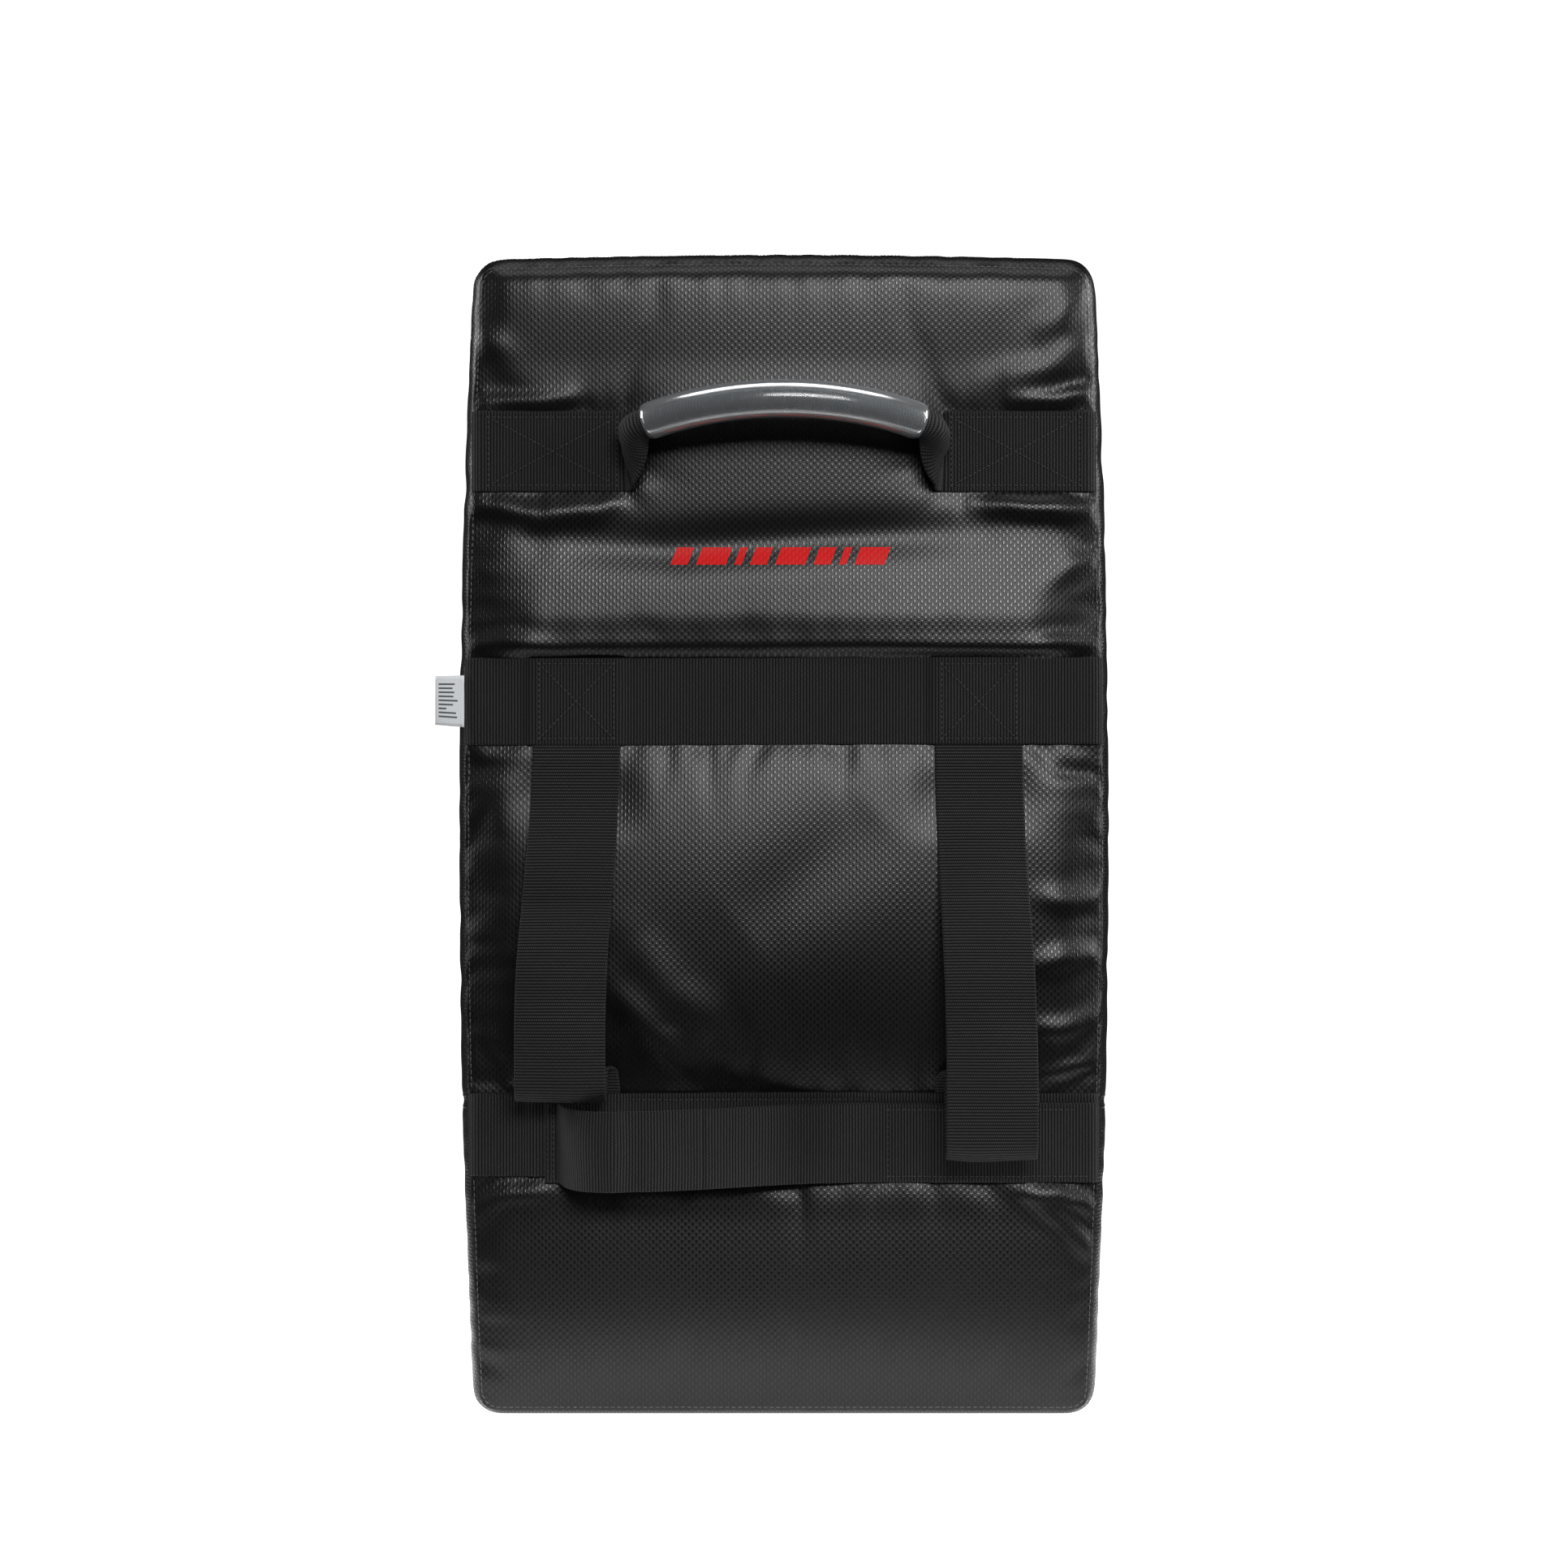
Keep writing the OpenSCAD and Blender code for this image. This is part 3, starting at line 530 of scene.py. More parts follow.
foam_edges = outline(9.0, 12.0, 9.0, 12.0)
foam_across, foam_up = spaced(2 * half_width - 18, 18, (0, 2, 6)), spaced(pad_top - 20, 18, (0, 2, 6))
foam_grid = panel_grid(foam_edges, foam_across, foam_up)
fr, fc = foam_grid.shape[:2]
for node, slot, finish, gap_back in (
        ("impact_foam", "firm_foam",
         foam_finish("Cross-linked polyethylene foam, cut", "#ddd8cc", "#b9b3a4", "#e4e0d6", 0.8), 0.0),
        ("core_foam", "core_foam",
         foam_finish("Polyurethane foam, cut", "#ece7d6", "#c3b995", "#f0ebdd", 1.2), 0.0),
        ("back_foam", "soft_foam",
         foam_finish("Soft polyurethane foam, cut", "#b9bdc2", "#8d9197", "#c6cad0", 1.4), 3.0)):
    low, high = box_mm(node)
    y0 = max(low[1], -panel_y) + gap_back
    y1, crowned = (panel_y - 2, front_high[1] - panel_y - 4) if node == "impact_foam" else (high[1], 0)
    lid = (crowned * np.sin(np.pi * np.clip(foam_across, 0, 1))[None, :] ** 0.5
           * np.sin(np.pi * np.clip(foam_up, 0, 1))[:, None] ** 0.5)
    bottom_pts = np.stack([foam_grid[..., 0], np.full((fr, fc), y0), foam_grid[..., 1]], -1).reshape(-1, 3)
    top_pts = np.stack([foam_grid[..., 0], y1 + lid, foam_grid[..., 1]], -1).reshape(-1, 3)
    ids = [j * fc + i for j, i in edge_of(fr, fc)]
    quads = [[j * fc + i for j, i in corners] for corners in cells_of(fr, fc)]
    quads += [[v + fr * fc for v in q[::-1]] for q in quads]
    quads += [[a, a + fr * fc, b + fr * fc, b] for a, b in zip(ids, ids[1:] + ids[:1])]
    block = piece(node + "_block", np.vstack([bottom_pts, top_pts]), quads, None, finish, smooth=False)
    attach(block, "shield")
    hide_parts(node)

# ---- Cross band ----
# A 54 mm polypropylene band lies flat across the back and is caught in both side seams. It is woven: stout weft
# ribs cross it, finer warp threads run along it, and it climbs over the arm straps' upper ends, sewn beneath it.
web_t, lie_gap, tuck = 1.8, 0.25, 1.5     # thickness, gap under webbing that lies flat, how far it goes into a seam
# The ribs are 1.3 mm apart and the warp threads 0.9 mm; both are drawn half as coarse again, so that they show
rib_pitch, warp_pitch, rib_depth = 1.9e-3, 1.4e-3, 0.3e-3

webbing, tree, shader = material("Polypropylene webbing, woven black")
uv_node = add(tree, "ShaderNodeUVMap", uv_map="cloth")
xyz = add(tree, "ShaderNodeSeparateXYZ", {0: uv_node.outputs[0]})
turn = add(tree, "ShaderNodeMath", {0: xyz.outputs[0], 1: 2 * math.pi / rib_pitch}, operation="MULTIPLY")
rib = add(tree, "ShaderNodeMath", {0: turn.outputs[0]}, operation="COSINE")
rib_up = add(tree, "ShaderNodeMapRange", {0: rib.outputs[0], 1: -1.0, 2: 0.6, 3: 0.0, 4: 1.0},
             interpolation_type="SMOOTHSTEP")
which = add(tree, "ShaderNodeMath", {0: xyz.outputs[0], 1: 1 / rib_pitch, 2: 0.5}, operation="MULTIPLY_ADD")
row = add(tree, "ShaderNodeMath", {0: which.outputs[0]}, operation="FLOOR")
shift = add(tree, "ShaderNodeMath", {0: row.outputs[0], 1: math.pi}, operation="MULTIPLY")
warp_turn = add(tree, "ShaderNodeMath", {0: xyz.outputs[1], 1: 2 * math.pi / warp_pitch, 2: shift.outputs[0]},
                operation="MULTIPLY_ADD")
warp = add(tree, "ShaderNodeMath", {0: warp_turn.outputs[0]}, operation="COSINE")
weave = add(tree, "ShaderNodeMath", {0: warp.outputs[0], 1: 0.26, 2: 0.74}, operation="MULTIPLY_ADD")
woven = add(tree, "ShaderNodeMath", {0: rib_up.outputs[0], 1: weave.outputs[0]}, operation="MULTIPLY")
coords = add(tree, "ShaderNodeTexCoord")
fuzz = add(tree, "ShaderNodeTexNoise", {"Vector": coords.outputs["Object"], "Scale": 2600.0, "Detail": 2.0})
faded = add(tree, "ShaderNodeTexNoise", {"Vector": coords.outputs["Object"], "Scale": 14.0, "Detail": 3.0})
high = add(tree, "ShaderNodeMath", {0: fuzz.outputs[0], 1: 0.25, 2: woven.outputs[0]}, operation="MULTIPLY_ADD")
relief = add(tree, "ShaderNodeBump", {"Height": high.outputs[0], "Strength": 1.0, "Distance": rib_depth})
dye = add(tree, "ShaderNodeMix", {0: faded.outputs[0], 6: linear("#232324"), 7: linear("#343435")}, data_type="RGBA")
# The gaps between the ribs are painted near black, as painted shade in the recesses.
painted_rib_shade = add(tree, "ShaderNodeMix", {0: woven.outputs[0], 6: linear("#020202"), 7: dye.outputs[2]}, data_type="RGBA")
gloss = add(tree, "ShaderNodeMapRange", {0: woven.outputs[0], 1: 0.0, 2: 1.0, 3: 0.95, 4: 0.62})
wire(tree, shader, {"Base Color": painted_rib_shade.outputs[2], "Roughness": gloss.outputs[0], "Normal": relief.outputs[0],
                    "IOR": 1.49, "Sheen Weight": 0.03, "Specular IOR Level": 0.42, "Sheen Roughness": 0.4})


def band(name, path, side, half, start_u=0.0, shape=None, finish=webbing):
    """A strip of webbing along a path. side gives its direction across and half its half width, at each point or
    for all. shape(i, w) gives the moves across and out of the flat, in millimetres, at distances w from its middle."""
    path = np.asarray(path, float)
    n = len(path)
    fixed = np.ndim(side) == 1                     # then the strip drifts sideways without twisting
    side = np.array(np.broadcast_to(np.asarray(side, float), (n, 3)))
    ahead = np.gradient(path, axis=0)
    ahead /= np.linalg.norm(ahead, axis=1)[:, None]
    if not fixed:
        side -= ahead * np.sum(side * ahead, axis=1)[:, None]
        side /= np.linalg.norm(side, axis=1)[:, None]
    out = np.cross(ahead, side)
    out /= np.linalg.norm(out, axis=1)[:, None]
    half = np.broadcast_to(np.asarray(half, float), (n,))
    run = distances(path)
    edge = np.array([0, 0.22, 0.8, 1.8, 2.6, 5.5])                 # rings at the selvedge, from its edge
    selvedge = np.array([0, 0.62, 1.0, 1.06, 0.92, 1.0]) * web_t / 2
    lifts = np.concatenate([selvedge, np.full(7, web_t / 2), selvedge[::-1]])
    m = len(lifts)
    spread = np.array([np.concatenate([-h + edge, np.linspace(-h + edge[-1], h - edge[-1], 9)[1:-1], h - edge[::-1]])
                       for h in half])
    middle = path[:, None] + spread[..., None] * side[:, None]
    if shape is not None:
        for i in range(n):
            across_move, out_move = shape(i, spread[i])
            middle[i] += np.outer(across_move, side[i]) + np.outer(out_move, out[i])
    facing = np.cross(np.gradient(middle, axis=0), np.gradient(middle, axis=1))
    facing /= np.linalg.norm(facing, axis=2)[..., None]
    above, below = middle + lifts[:, None] * facing, middle - lifts[:, None] * facing
    rings = np.concatenate([above, below[:, -2:0:-1]], axis=1)
    size = 2 * m - 2
    across_at = np.concatenate([spread, spread[:, -2:0:-1]], axis=1) / 1000
    faces, uv = [], []
    for i in range(n - 1):
        u0, u1 = start_u + run[i] / 1000, start_u + run[i + 1] / 1000
        for k in range(size):
            l = (k + 1) % size
            faces.append([i * size + k, (i + 1) * size + k, (i + 1) * size + l, i * size + l])
            uv += [(u0, across_at[i, k]), (u1, across_at[i + 1, k]), (u1, across_at[i + 1, l]), (u0, across_at[i, l])]
    for i, flip in ((0, True), (n - 1, False)):
        for k in range(m - 1):
            quad = [k, (size - k) % size, (size - k - 1) % size, k + 1]
            quad = [i * size + v for c, v in enumerate(quad) if v not in quad[:c]]
            faces.append(quad[::-1] if flip else quad)
            uv += [(start_u + run[i] / 1000, 0)] * len(quad)
    return piece(name, rings.reshape(-1, 3), faces, uv, finish), start_u + run[-1] / 1000


def climbing(x, lie, over, ramp=5.0):
    """How high a band's underside stands at x: it rises over each (centre, half width, rise)."""
    high = np.full(np.shape(x), float(lie))
    for centre, half, rise in over:
        high = high + rise * (1 - smooth((np.abs(np.asarray(x) - centre) - half) / ramp))
    return high


arm_ends = [(left_arm_x, arm_half, web_t), (right_arm_x, arm_half, web_t)]


def tucked(x, reach):
    """How far a band's end turns down into the side seam."""
    return 3.4 * smooth((np.abs(x) - reach + 7) / 8) ** 2


x = np.linspace(cross_low[0] - tuck, cross_high[0] + tuck, 150)
lie = climbing(x, lie_gap, arm_ends) - tucked(x, cross_high[0] + tuck)
path = np.stack([x, -panel_y - lie - web_t / 2, (cross_low[2] + cross_high[2]) / 2 + 0.4 * np.sin(x / 83)], 1)
cross_piece, _ = band("cross_band_webbing", path, (0, 0, 1), (cross_high[2] - cross_low[2]) / 2,
                      shape=lambda i, w: (0 * w, -0.5 * np.abs(w / 27) ** 3 * math.sin(x[i] / 13) ** 2))
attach(cross_piece, "shield")
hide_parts("cross_band")

# ---- Base band ----
# A second woven band, 51 mm wide, closes the bottom of the arm loops. It is caught in both side seams and
# sewn down over the folded feet of the arm straps.
x = np.linspace(base_low[0] - tuck, base_high[0] + tuck, 150)
base_reach = base_high[0] + tuck
base_mid, base_half = (base_low[2] + base_high[2]) / 2, (base_high[2] - base_low[2]) / 2
path = np.stack([x, -panel_y - climbing(x, lie_gap, arm_ends) + tucked(x, base_reach) - web_t / 2,
                 base_mid + 0.5 * np.sin(x / 71 + 1)], 1)
base_piece, _ = band("base_band_webbing", path, (0, 0, 1), base_half,
                     shape=lambda i, w: (0 * w, -0.5 * np.abs(w / 26) ** 3 * math.sin(x[i] / 15 + 1) ** 2))
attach(base_piece, "shield")
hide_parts("base_band")

# ---- Arm straps ----
# Two slack loops of 54 mm webbing for the forearm. Each is sewn under the cross band, hangs off the back in a
# bow, folds up on itself near the bottom and comes forward to its foot under the base band.


def curve(p, q, r, s, steps):
    """Points along a cubic curve from p to s, drawn towards q and r."""
    t = np.linspace(0, 1, steps + 1)[:, None]
    p, q, r, s = (np.array(v, float) for v in (p, q, r, s))
    return (1 - t) ** 3 * p + 3 * (1 - t) ** 2 * t * q + 3 * (1 - t) * t * t * r + t**3 * s


surface = BVHTree.FromPolygons(fine.tolist(), fine_faces.tolist())


def laid(points, direction):
    """Where lines of points, carried in a direction, first meet the cover, with the way that it faces there."""
    row = []
    for p in points:
        start = Vector(p) - Vector(direction) * 400
        spot, faced, _, _ = surface.ray_cast(start, Vector(direction))
        if spot is not None:
            row.append((np.array(spot), np.array(faced if faced.dot(Vector(direction)) < 0 else -faced)))
    return row


def clear_of_panel(line, x, half, gap=1.25):
    """Webbing that would sink into the swollen vinyl rides on it instead: line holds (stand-off, z)."""
    for point in line:
        if base_high[2] + 1 < point[1] < cross_low[2] - 1:
            under = laid([(x + o, 0, point[1]) for o in (-half, -half / 2, 0, half / 2, half)], (0, 1, 0))
            point[0] = max([point[0]] + [-spot[1] - panel_y + gap for spot, _ in under])
    line[1:-1, 0] = np.maximum(line[1:-1, 0], (line[:-2, 0] + line[2:, 0]) / 2 - 0.15)


sewn_s = lie_gap + web_t / 2      # stand-off of webbing that lies on the panel
for which, middle_x, reach, fold_s, drop, lean, creases in (
        ("left", left_arm_x, 36.0, 13.0, 4.0, -8.0, ((317, 4.2, 30), (262, 1.2, 16))),
        ("right", right_arm_x, 43.0, 17.0, 39.0, 6.0, ((248, 2.6, 26), (340, 1.4, 30)))):
    top_z = cross_low[2]
    bottom = base_high[2] - drop
    drop_run, rise = top_z - bottom, (reach - fold_s) / 2
    turn_z = bottom + web_t / 2 + rise
    front = np.vstack([
        np.stack([np.full(8, sewn_s), np.linspace(cross_high[2] - 2, top_z + 6, 8)], 1),
        curve([sewn_s, top_z], [sewn_s, top_z - 0.25 * drop_run], [reach, top_z - 0.45 * drop_run],
              [reach, top_z - 0.72 * drop_run], 44),
        curve([reach, top_z - 0.72 * drop_run], [reach, bottom + 1.6 * rise], [reach, turn_z],
              [reach, turn_z], 14)[1:]])
    a = np.radians(np.arange(-8, -91, -8.2))
    front = np.vstack([front, np.stack([(reach + fold_s) / 2 + rise * np.cos(a), turn_z + rise * np.sin(a)], 1)])
    a = np.radians(np.arange(-90.0, -180.1, -9))
    split = max(base_high[2] + 6, turn_z + 0.5)
    back = np.vstack([
        np.stack([(reach + fold_s) / 2 + rise * np.cos(a), turn_z + rise * np.sin(a)], 1),
        np.stack([np.full(5, fold_s), np.linspace(turn_z, split, 7)[1:-1]], 1),
        curve([fold_s, split], [fold_s, split + 10], [sewn_s, split + 10], [sewn_s, base_high[2]], 20),
        np.stack([np.full(8, sewn_s), np.linspace(base_high[2] - 4, base_low[2] + 2, 8)], 1)])
    front[-1] = back[0]
    clear_of_panel(front, middle_x, arm_half)
    clear_of_panel(back, middle_x, arm_half)
    length = 0.0
    for label, line in (("front", front), ("fold", back)):
        s_line, z_line = line[:, 0].copy(), line[:, 1]
        if label == "front":
            for crease_z, deep_by, wide in creases:
                s_line -= deep_by * np.clip(1 - np.abs(z_line - crease_z) / wide, 0, 1) ** 1.6 * (z_line > turn_z + 4)
            hang = smooth((top_z - z_line) / (drop_run * 0.8))
        else:
            hang = smooth((s_line - 3) / 10)
        strap_x = middle_x + lean * hang
        path = np.stack([strap_x, -panel_y - s_line, z_line], 1)
        cup = 1.3 * hang

        def cupped(i, w):
            return 0 * w, -cup[i] * (w / 27) ** 2 + 0.35 * hang[i] * np.sin(w / 9 + z_line[i] / 17)

        strap, length = band(f"{which}_arm_strap_{label}", path, (1, 0, 0), arm_half + 0.7 * hang, length, cupped)
        if label == "front":
            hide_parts(f"{which}_arm_strap_top", f"{which}_arm_strap")
            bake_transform(strap)
        else:
            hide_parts(f"{which}_arm_strap_foot")
            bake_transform(strap)

# ---- Hand strap ----
# A 49 mm strap across the bottom for the lower hand. Its left end is folded out of the base band and stands up in
# a ridge, and it slopes down to the right, where it is sewn flat along the base band as far as the seam.
hand_low_box, hand_high_box = box_mm("hand_strap")
hand_mid, hand_half = (hand_low_box[2] + hand_high_box[2]) / 2, (hand_high_box[2] - hand_low_box[2]) / 2
hand_left, hand_right, hand_s = -140.0, 62.0, 42.0
left_lie, right_lie = lie_gap + 2.5 * web_t, lie_gap + 1.5 * web_t
rising = curve([hand_left, left_lie], [hand_left + 6, left_lie], [hand_left + 4, hand_s], [hand_left + 34, hand_s], 34)
sloping = curve([hand_left + 34, hand_s], [hand_left + 80, hand_s], [hand_right - 70, right_lie + 3],
                [hand_right, right_lie], 60)
arch = np.vstack([[[hand_left - 7, left_lie], [hand_left - 3, left_lie]], rising, sloping[1:]])
arch[:, 1] += 1.6 * np.exp(-(((arch[:, 0] + 103) / 5.0) ** 2))           # the pressed ridge
arch[:, 1] -= 1.2 * np.exp(-(((arch[:, 0] + 92) / 7.0) ** 2))
x = np.linspace(hand_right + 2.5, base_reach - 0.6, 66)
flat_s = climbing(x, right_lie, [arm_ends[1]]) - tucked(x, base_reach)
arch = np.vstack([arch, np.stack([x, flat_s], 1)])
cut = int(np.argmin(np.abs(arch[:, 0] + 50)))
length = 0.0
for part, line in (("hand_strap_left", arch[: cut + 1]), ("hand_strap_right", arch[cut:])):
    free = smooth((line[:, 1] - right_lie) / 16) * (line[:, 0] < hand_right)
    z = hand_mid - 1.6 * free * smooth((-line[:, 0] + 40) / 140)
    path = np.stack([line[:, 0], -panel_y - line[:, 1], z], 1)

    def arched(i, w):
        return 0 * w, -0.9 * free[i] * (w / 25) ** 2 + 0.4 * free[i] * np.sin(w / 8 + line[i, 0] / 21)

    strap, length = band(part, path, (0, 0, 1), hand_half, length, arched)
    if part == "hand_strap_left":
        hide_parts("hand_strap_left_end", "hand_strap")
        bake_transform(strap)
    else:
        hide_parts("hand_strap_right_end")
        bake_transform(strap)

# ---- Carry handle ----
# One 50 mm webbing is sewn flat at both sides as a tab. Between the tabs it is gathered, rolled round on itself
# with its raw sides turned to the pad, and threaded through a clear tube as the grip.
swing_s, handle_z, tilt = 11.0, (tab_low[2] + tab_high[2]) / 2, math.radians(35)
tab_reach = tab_high[0] + tuck
arch_radius, arch_centre, roll_half = 172.55, 125.55, math.radians(29.9)
roll_radius = 8.4                                                # to the middle of the rolled webbing


def on_handle(x, y, z=0.0):
    """A place in the handle's own frame, as the pad's x, stand-off from the panel, and z."""
    return np.array([x, swing_s - y * math.cos(tilt) - z * math.sin(tilt),
                     handle_z - y * math.sin(tilt) + z * math.cos(tilt)])


for sign, which in ((1, "right"), (-1, "left")):
    flat_x = np.linspace(tab_reach, tab_in, 44)
    tab = np.stack([flat_x, sewn_s - tucked(flat_x, tab_reach), np.full(44, handle_z)], 1)
    end = on_handle(arch_radius * math.sin(roll_half), arch_centre - arch_radius * math.cos(roll_half))
    heading = np.array([-math.cos(roll_half), math.sin(roll_half) * math.cos(tilt),
                        math.sin(roll_half) * math.sin(tilt)])
    neck = curve(tab[-1], tab[-1] - [6.5, 0, 0], end - heading * 15, end, 26)[1:]
    phi = np.linspace(roll_half, 0, 44)[1:]
    roll_line = np.array([on_handle(arch_radius * math.sin(f), arch_centre - arch_radius * math.cos(f)) for f in phi])
    line = np.vstack([tab, neck, roll_line])
    share = np.concatenate([np.zeros(44), np.linspace(0, 1, 27)[1:], np.ones(43)])      # 0 on the tab, 1 in the roll
    path = np.stack([sign * line[:, 0], -panel_y - line[:, 1], line[:, 2]], 1)
    lean_in = smooth(share)[:, None]
    side = (1 - lean_in) * np.array([0, 0, 1.0]) + lean_in * np.array([0, math.sin(tilt), math.cos(tilt)])
    side = side * -sign                                            # the rolled side turns to the pad on both halves
    curl = 0.001 + (2 * 25 / roll_radius - 0.001) * smooth(share) ** 1.15

    def rolled(i, w):
        r = 50 / curl[i]
        a = w / r
        sag = r * (1 - math.sin(curl[i] / 2) / (curl[i] / 2))
        ruck = 0.9 * math.sin(math.pi * share[i]) * np.sin(w / 2.6)
        return r * np.sin(a) - w, -(r * (1 - np.cos(a)) - sag) + ruck

    strap, _ = band(f"{which}_handle_webbing", path, side, 25.0, shape=rolled)
    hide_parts(f"{which}_handle_tab", "handle_webbing")
    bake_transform(strap)

# ---- Grip tube ----
# A length of clear PVC hose slipped over the rolled webbing before it is sewn. It is extruded, so its wall is
# even, and its ends are cut square, which leaves bright matt rims.
clear_pvc, tree, shader = material("Clear PVC hose, extruded")
coords = add(tree, "ShaderNodeTexCoord")
scuffs = add(tree, "ShaderNodeTexNoise",
             {"Vector": coords.outputs["Object"], "Scale": 70.0, "Detail": 3.0, "Roughness": 0.5})
dull = add(tree, "ShaderNodeMapRange", {0: scuffs.outputs[0], 1: 0.4, 2: 0.8, 3: 0.16, 4: 0.26})
ripple = add(tree, "ShaderNodeBump", {"Height": scuffs.outputs[0], "Strength": 0.08, "Distance": 0.0001})
cast = add(tree, "ShaderNodeMix", {0: scuffs.outputs[0], 6: linear("#b6babd"), 7: linear("#9ea2a5")}, data_type="RGBA")
wire(tree, shader, {"Roughness": dull.outputs[0], "Normal": ripple.outputs[0], "Base Color": cast.outputs[2],
                    "IOR": 1.42, "Transmission Weight": 0.8})

tube_outer, tube_inner, tube_half = 11.5, 9.6, math.radians(28.55)
turns = 48
rings, angles = [], np.linspace(-tube_half, tube_half, 73)        # round the wall: outside, rim, inside, rim
around = np.linspace(0, 2 * np.pi, turns, endpoint=False)
for radius, order in ((tube_outer, angles), (tube_inner, angles[::-1])):
    for c, f in enumerate(order):
        end_in = min(c, len(angles) - 1 - c)
        eased = 0.5 if end_in == 0 else 0.12 if end_in == 1 and radius == tube_outer else 0
        r = radius - eased * (1 if radius == tube_outer else -0.5)
        ring = []
        for a in around:
            reach = arch_radius + r * math.cos(a)
            x, s, z = on_handle(reach * math.sin(f), arch_centre - reach * math.cos(f), r * math.sin(a))
            ring.append((x, -panel_y - s, z))
        rings.append(ring)
total = len(rings)
faces = []
for c in range(total):
    here, there = c * turns, (c + 1) % total * turns
    faces += [[here + k, here + (k + 1) % turns, there + (k + 1) % turns, there + k] for k in range(turns)]
tube = piece("clear_grip_tube", np.array(rings).reshape(-1, 3), faces, None, clear_pvc)
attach(tube, "grip")
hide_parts("grip_tube")

# ---- Stitching ----
# Every seam is lockstitched in bonded polyester thread. The cover's seams are topstitched close to their edges,
# and the webbing is held by boxes with a cross in them. Each stitch is a short bead that dips in at both ends.


def polyester_thread(name, dark, light, roughness):
    """Filaments twisted tight and bonded: each stitch has a dull sheen."""
    m, tree, shader = material(name)
    coords = add(tree, "ShaderNodeTexCoord")
    twist = add(tree, "ShaderNodeTexNoise", {"Vector": coords.outputs["Object"], "Scale": 1800.0, "Detail": 1.0})
    tone = add(tree, "ShaderNodeMix", {0: twist.outputs[0], 6: linear(dark), 7: linear(light)}, data_type="RGBA")
    relief = add(tree, "ShaderNodeBump", {"Height": twist.outputs[0], "Strength": 0.6, "Distance": 0.0001})
    wire(tree, shader, {"Base Color": tone.outputs[2], "Normal": relief.outputs[0], "Roughness": roughness,
                        "IOR": 1.55})
    return m


thread_black = polyester_thread("Bonded polyester thread, black", "#1a1a1b", "#333334", 0.6)
# The seam thread is black like the rest; it is painted lighter grey as painted highlight where light catches it on the
# seams.
seam_thread_painted_lighter = polyester_thread("Bonded polyester thread, grey", "#353537", "#5c5c5e", 0.5)

lockstitch = bpy.data.node_groups.new("Lockstitch rows", "GeometryNodeTree")
for label, kind in (("Rows", "Geometry"), ("Stitch length", "Float"), ("Pitch", "Float"), ("Thread width", "Float"),
                    ("Stands proud", "Float"), ("Sway", "Float"), ("Seed", "Int"), ("Thread", "Material")):
    lockstitch.interface.new_socket(label, in_out="INPUT", socket_type="NodeSocket" + kind)
lockstitch.interface.new_socket("Stitches", in_out="OUTPUT", socket_type="NodeSocketGeometry")
given = add(lockstitch, "NodeGroupInput")
line = add(lockstitch, "GeometryNodeMeshToCurve", {0: given.outputs["Rows"]})
even = add(lockstitch, "GeometryNodeResampleCurve", {"Curve": line.outputs[0], "Length": given.outputs["Pitch"]},
           mode="LENGTH")
bead = add(lockstitch, "GeometryNodeMeshUVSphere", {"Segments": 8, "Rings": 6, "Radius": 0.5})
size = add(lockstitch, "ShaderNodeCombineXYZ", {0: given.outputs["Stitch length"], 1: given.outputs["Thread width"],
                                                2: given.outputs["Stands proud"]})
heading = add(lockstitch, "GeometryNodeInputTangent")
facing = add(lockstitch, "GeometryNodeInputNamedAttribute", {"Name": "facing"}, data_type="FLOAT_VECTOR")
aimed = add(lockstitch, "FunctionNodeAlignRotationToVector", {"Vector": heading.outputs[0]}, axis="X")
upright = add(lockstitch, "FunctionNodeAlignRotationToVector",
              {"Rotation": aimed.outputs[0], "Vector": facing.outputs[0]},
              axis="Z", pivot_axis="X")
swing = add(lockstitch, "FunctionNodeRandomValue", {2: -1.0, 3: 1.0, "Seed": given.outputs["Seed"]}, data_type="FLOAT")
turned = add(lockstitch, "ShaderNodeMath", {0: swing.outputs[1], 1: given.outputs["Sway"]}, operation="MULTIPLY")
yaw = add(lockstitch, "ShaderNodeCombineXYZ", {2: turned.outputs[0]})
by = add(lockstitch, "FunctionNodeEulerToRotation", {0: yaw.outputs[0]})
placed = add(lockstitch, "FunctionNodeRotateRotation", {0: upright.outputs[0], 1: by.outputs[0]},
             rotation_space="LOCAL")
beads = add(lockstitch, "GeometryNodeInstanceOnPoints", {"Points": even.outputs[0], "Instance": bead.outputs[0],
                                                         "Rotation": placed.outputs[0], "Scale": size.outputs[0]})
real = add(lockstitch, "GeometryNodeRealizeInstances", {0: beads.outputs[0]})
soft = add(lockstitch, "GeometryNodeSetShadeSmooth", {0: real.outputs[0]})
shaded = add(lockstitch, "GeometryNodeSetMaterial", {"Geometry": soft.outputs[0], "Material": given.outputs["Thread"]})
add(lockstitch, "NodeGroupOutput", {0: shaded.outputs[0]})


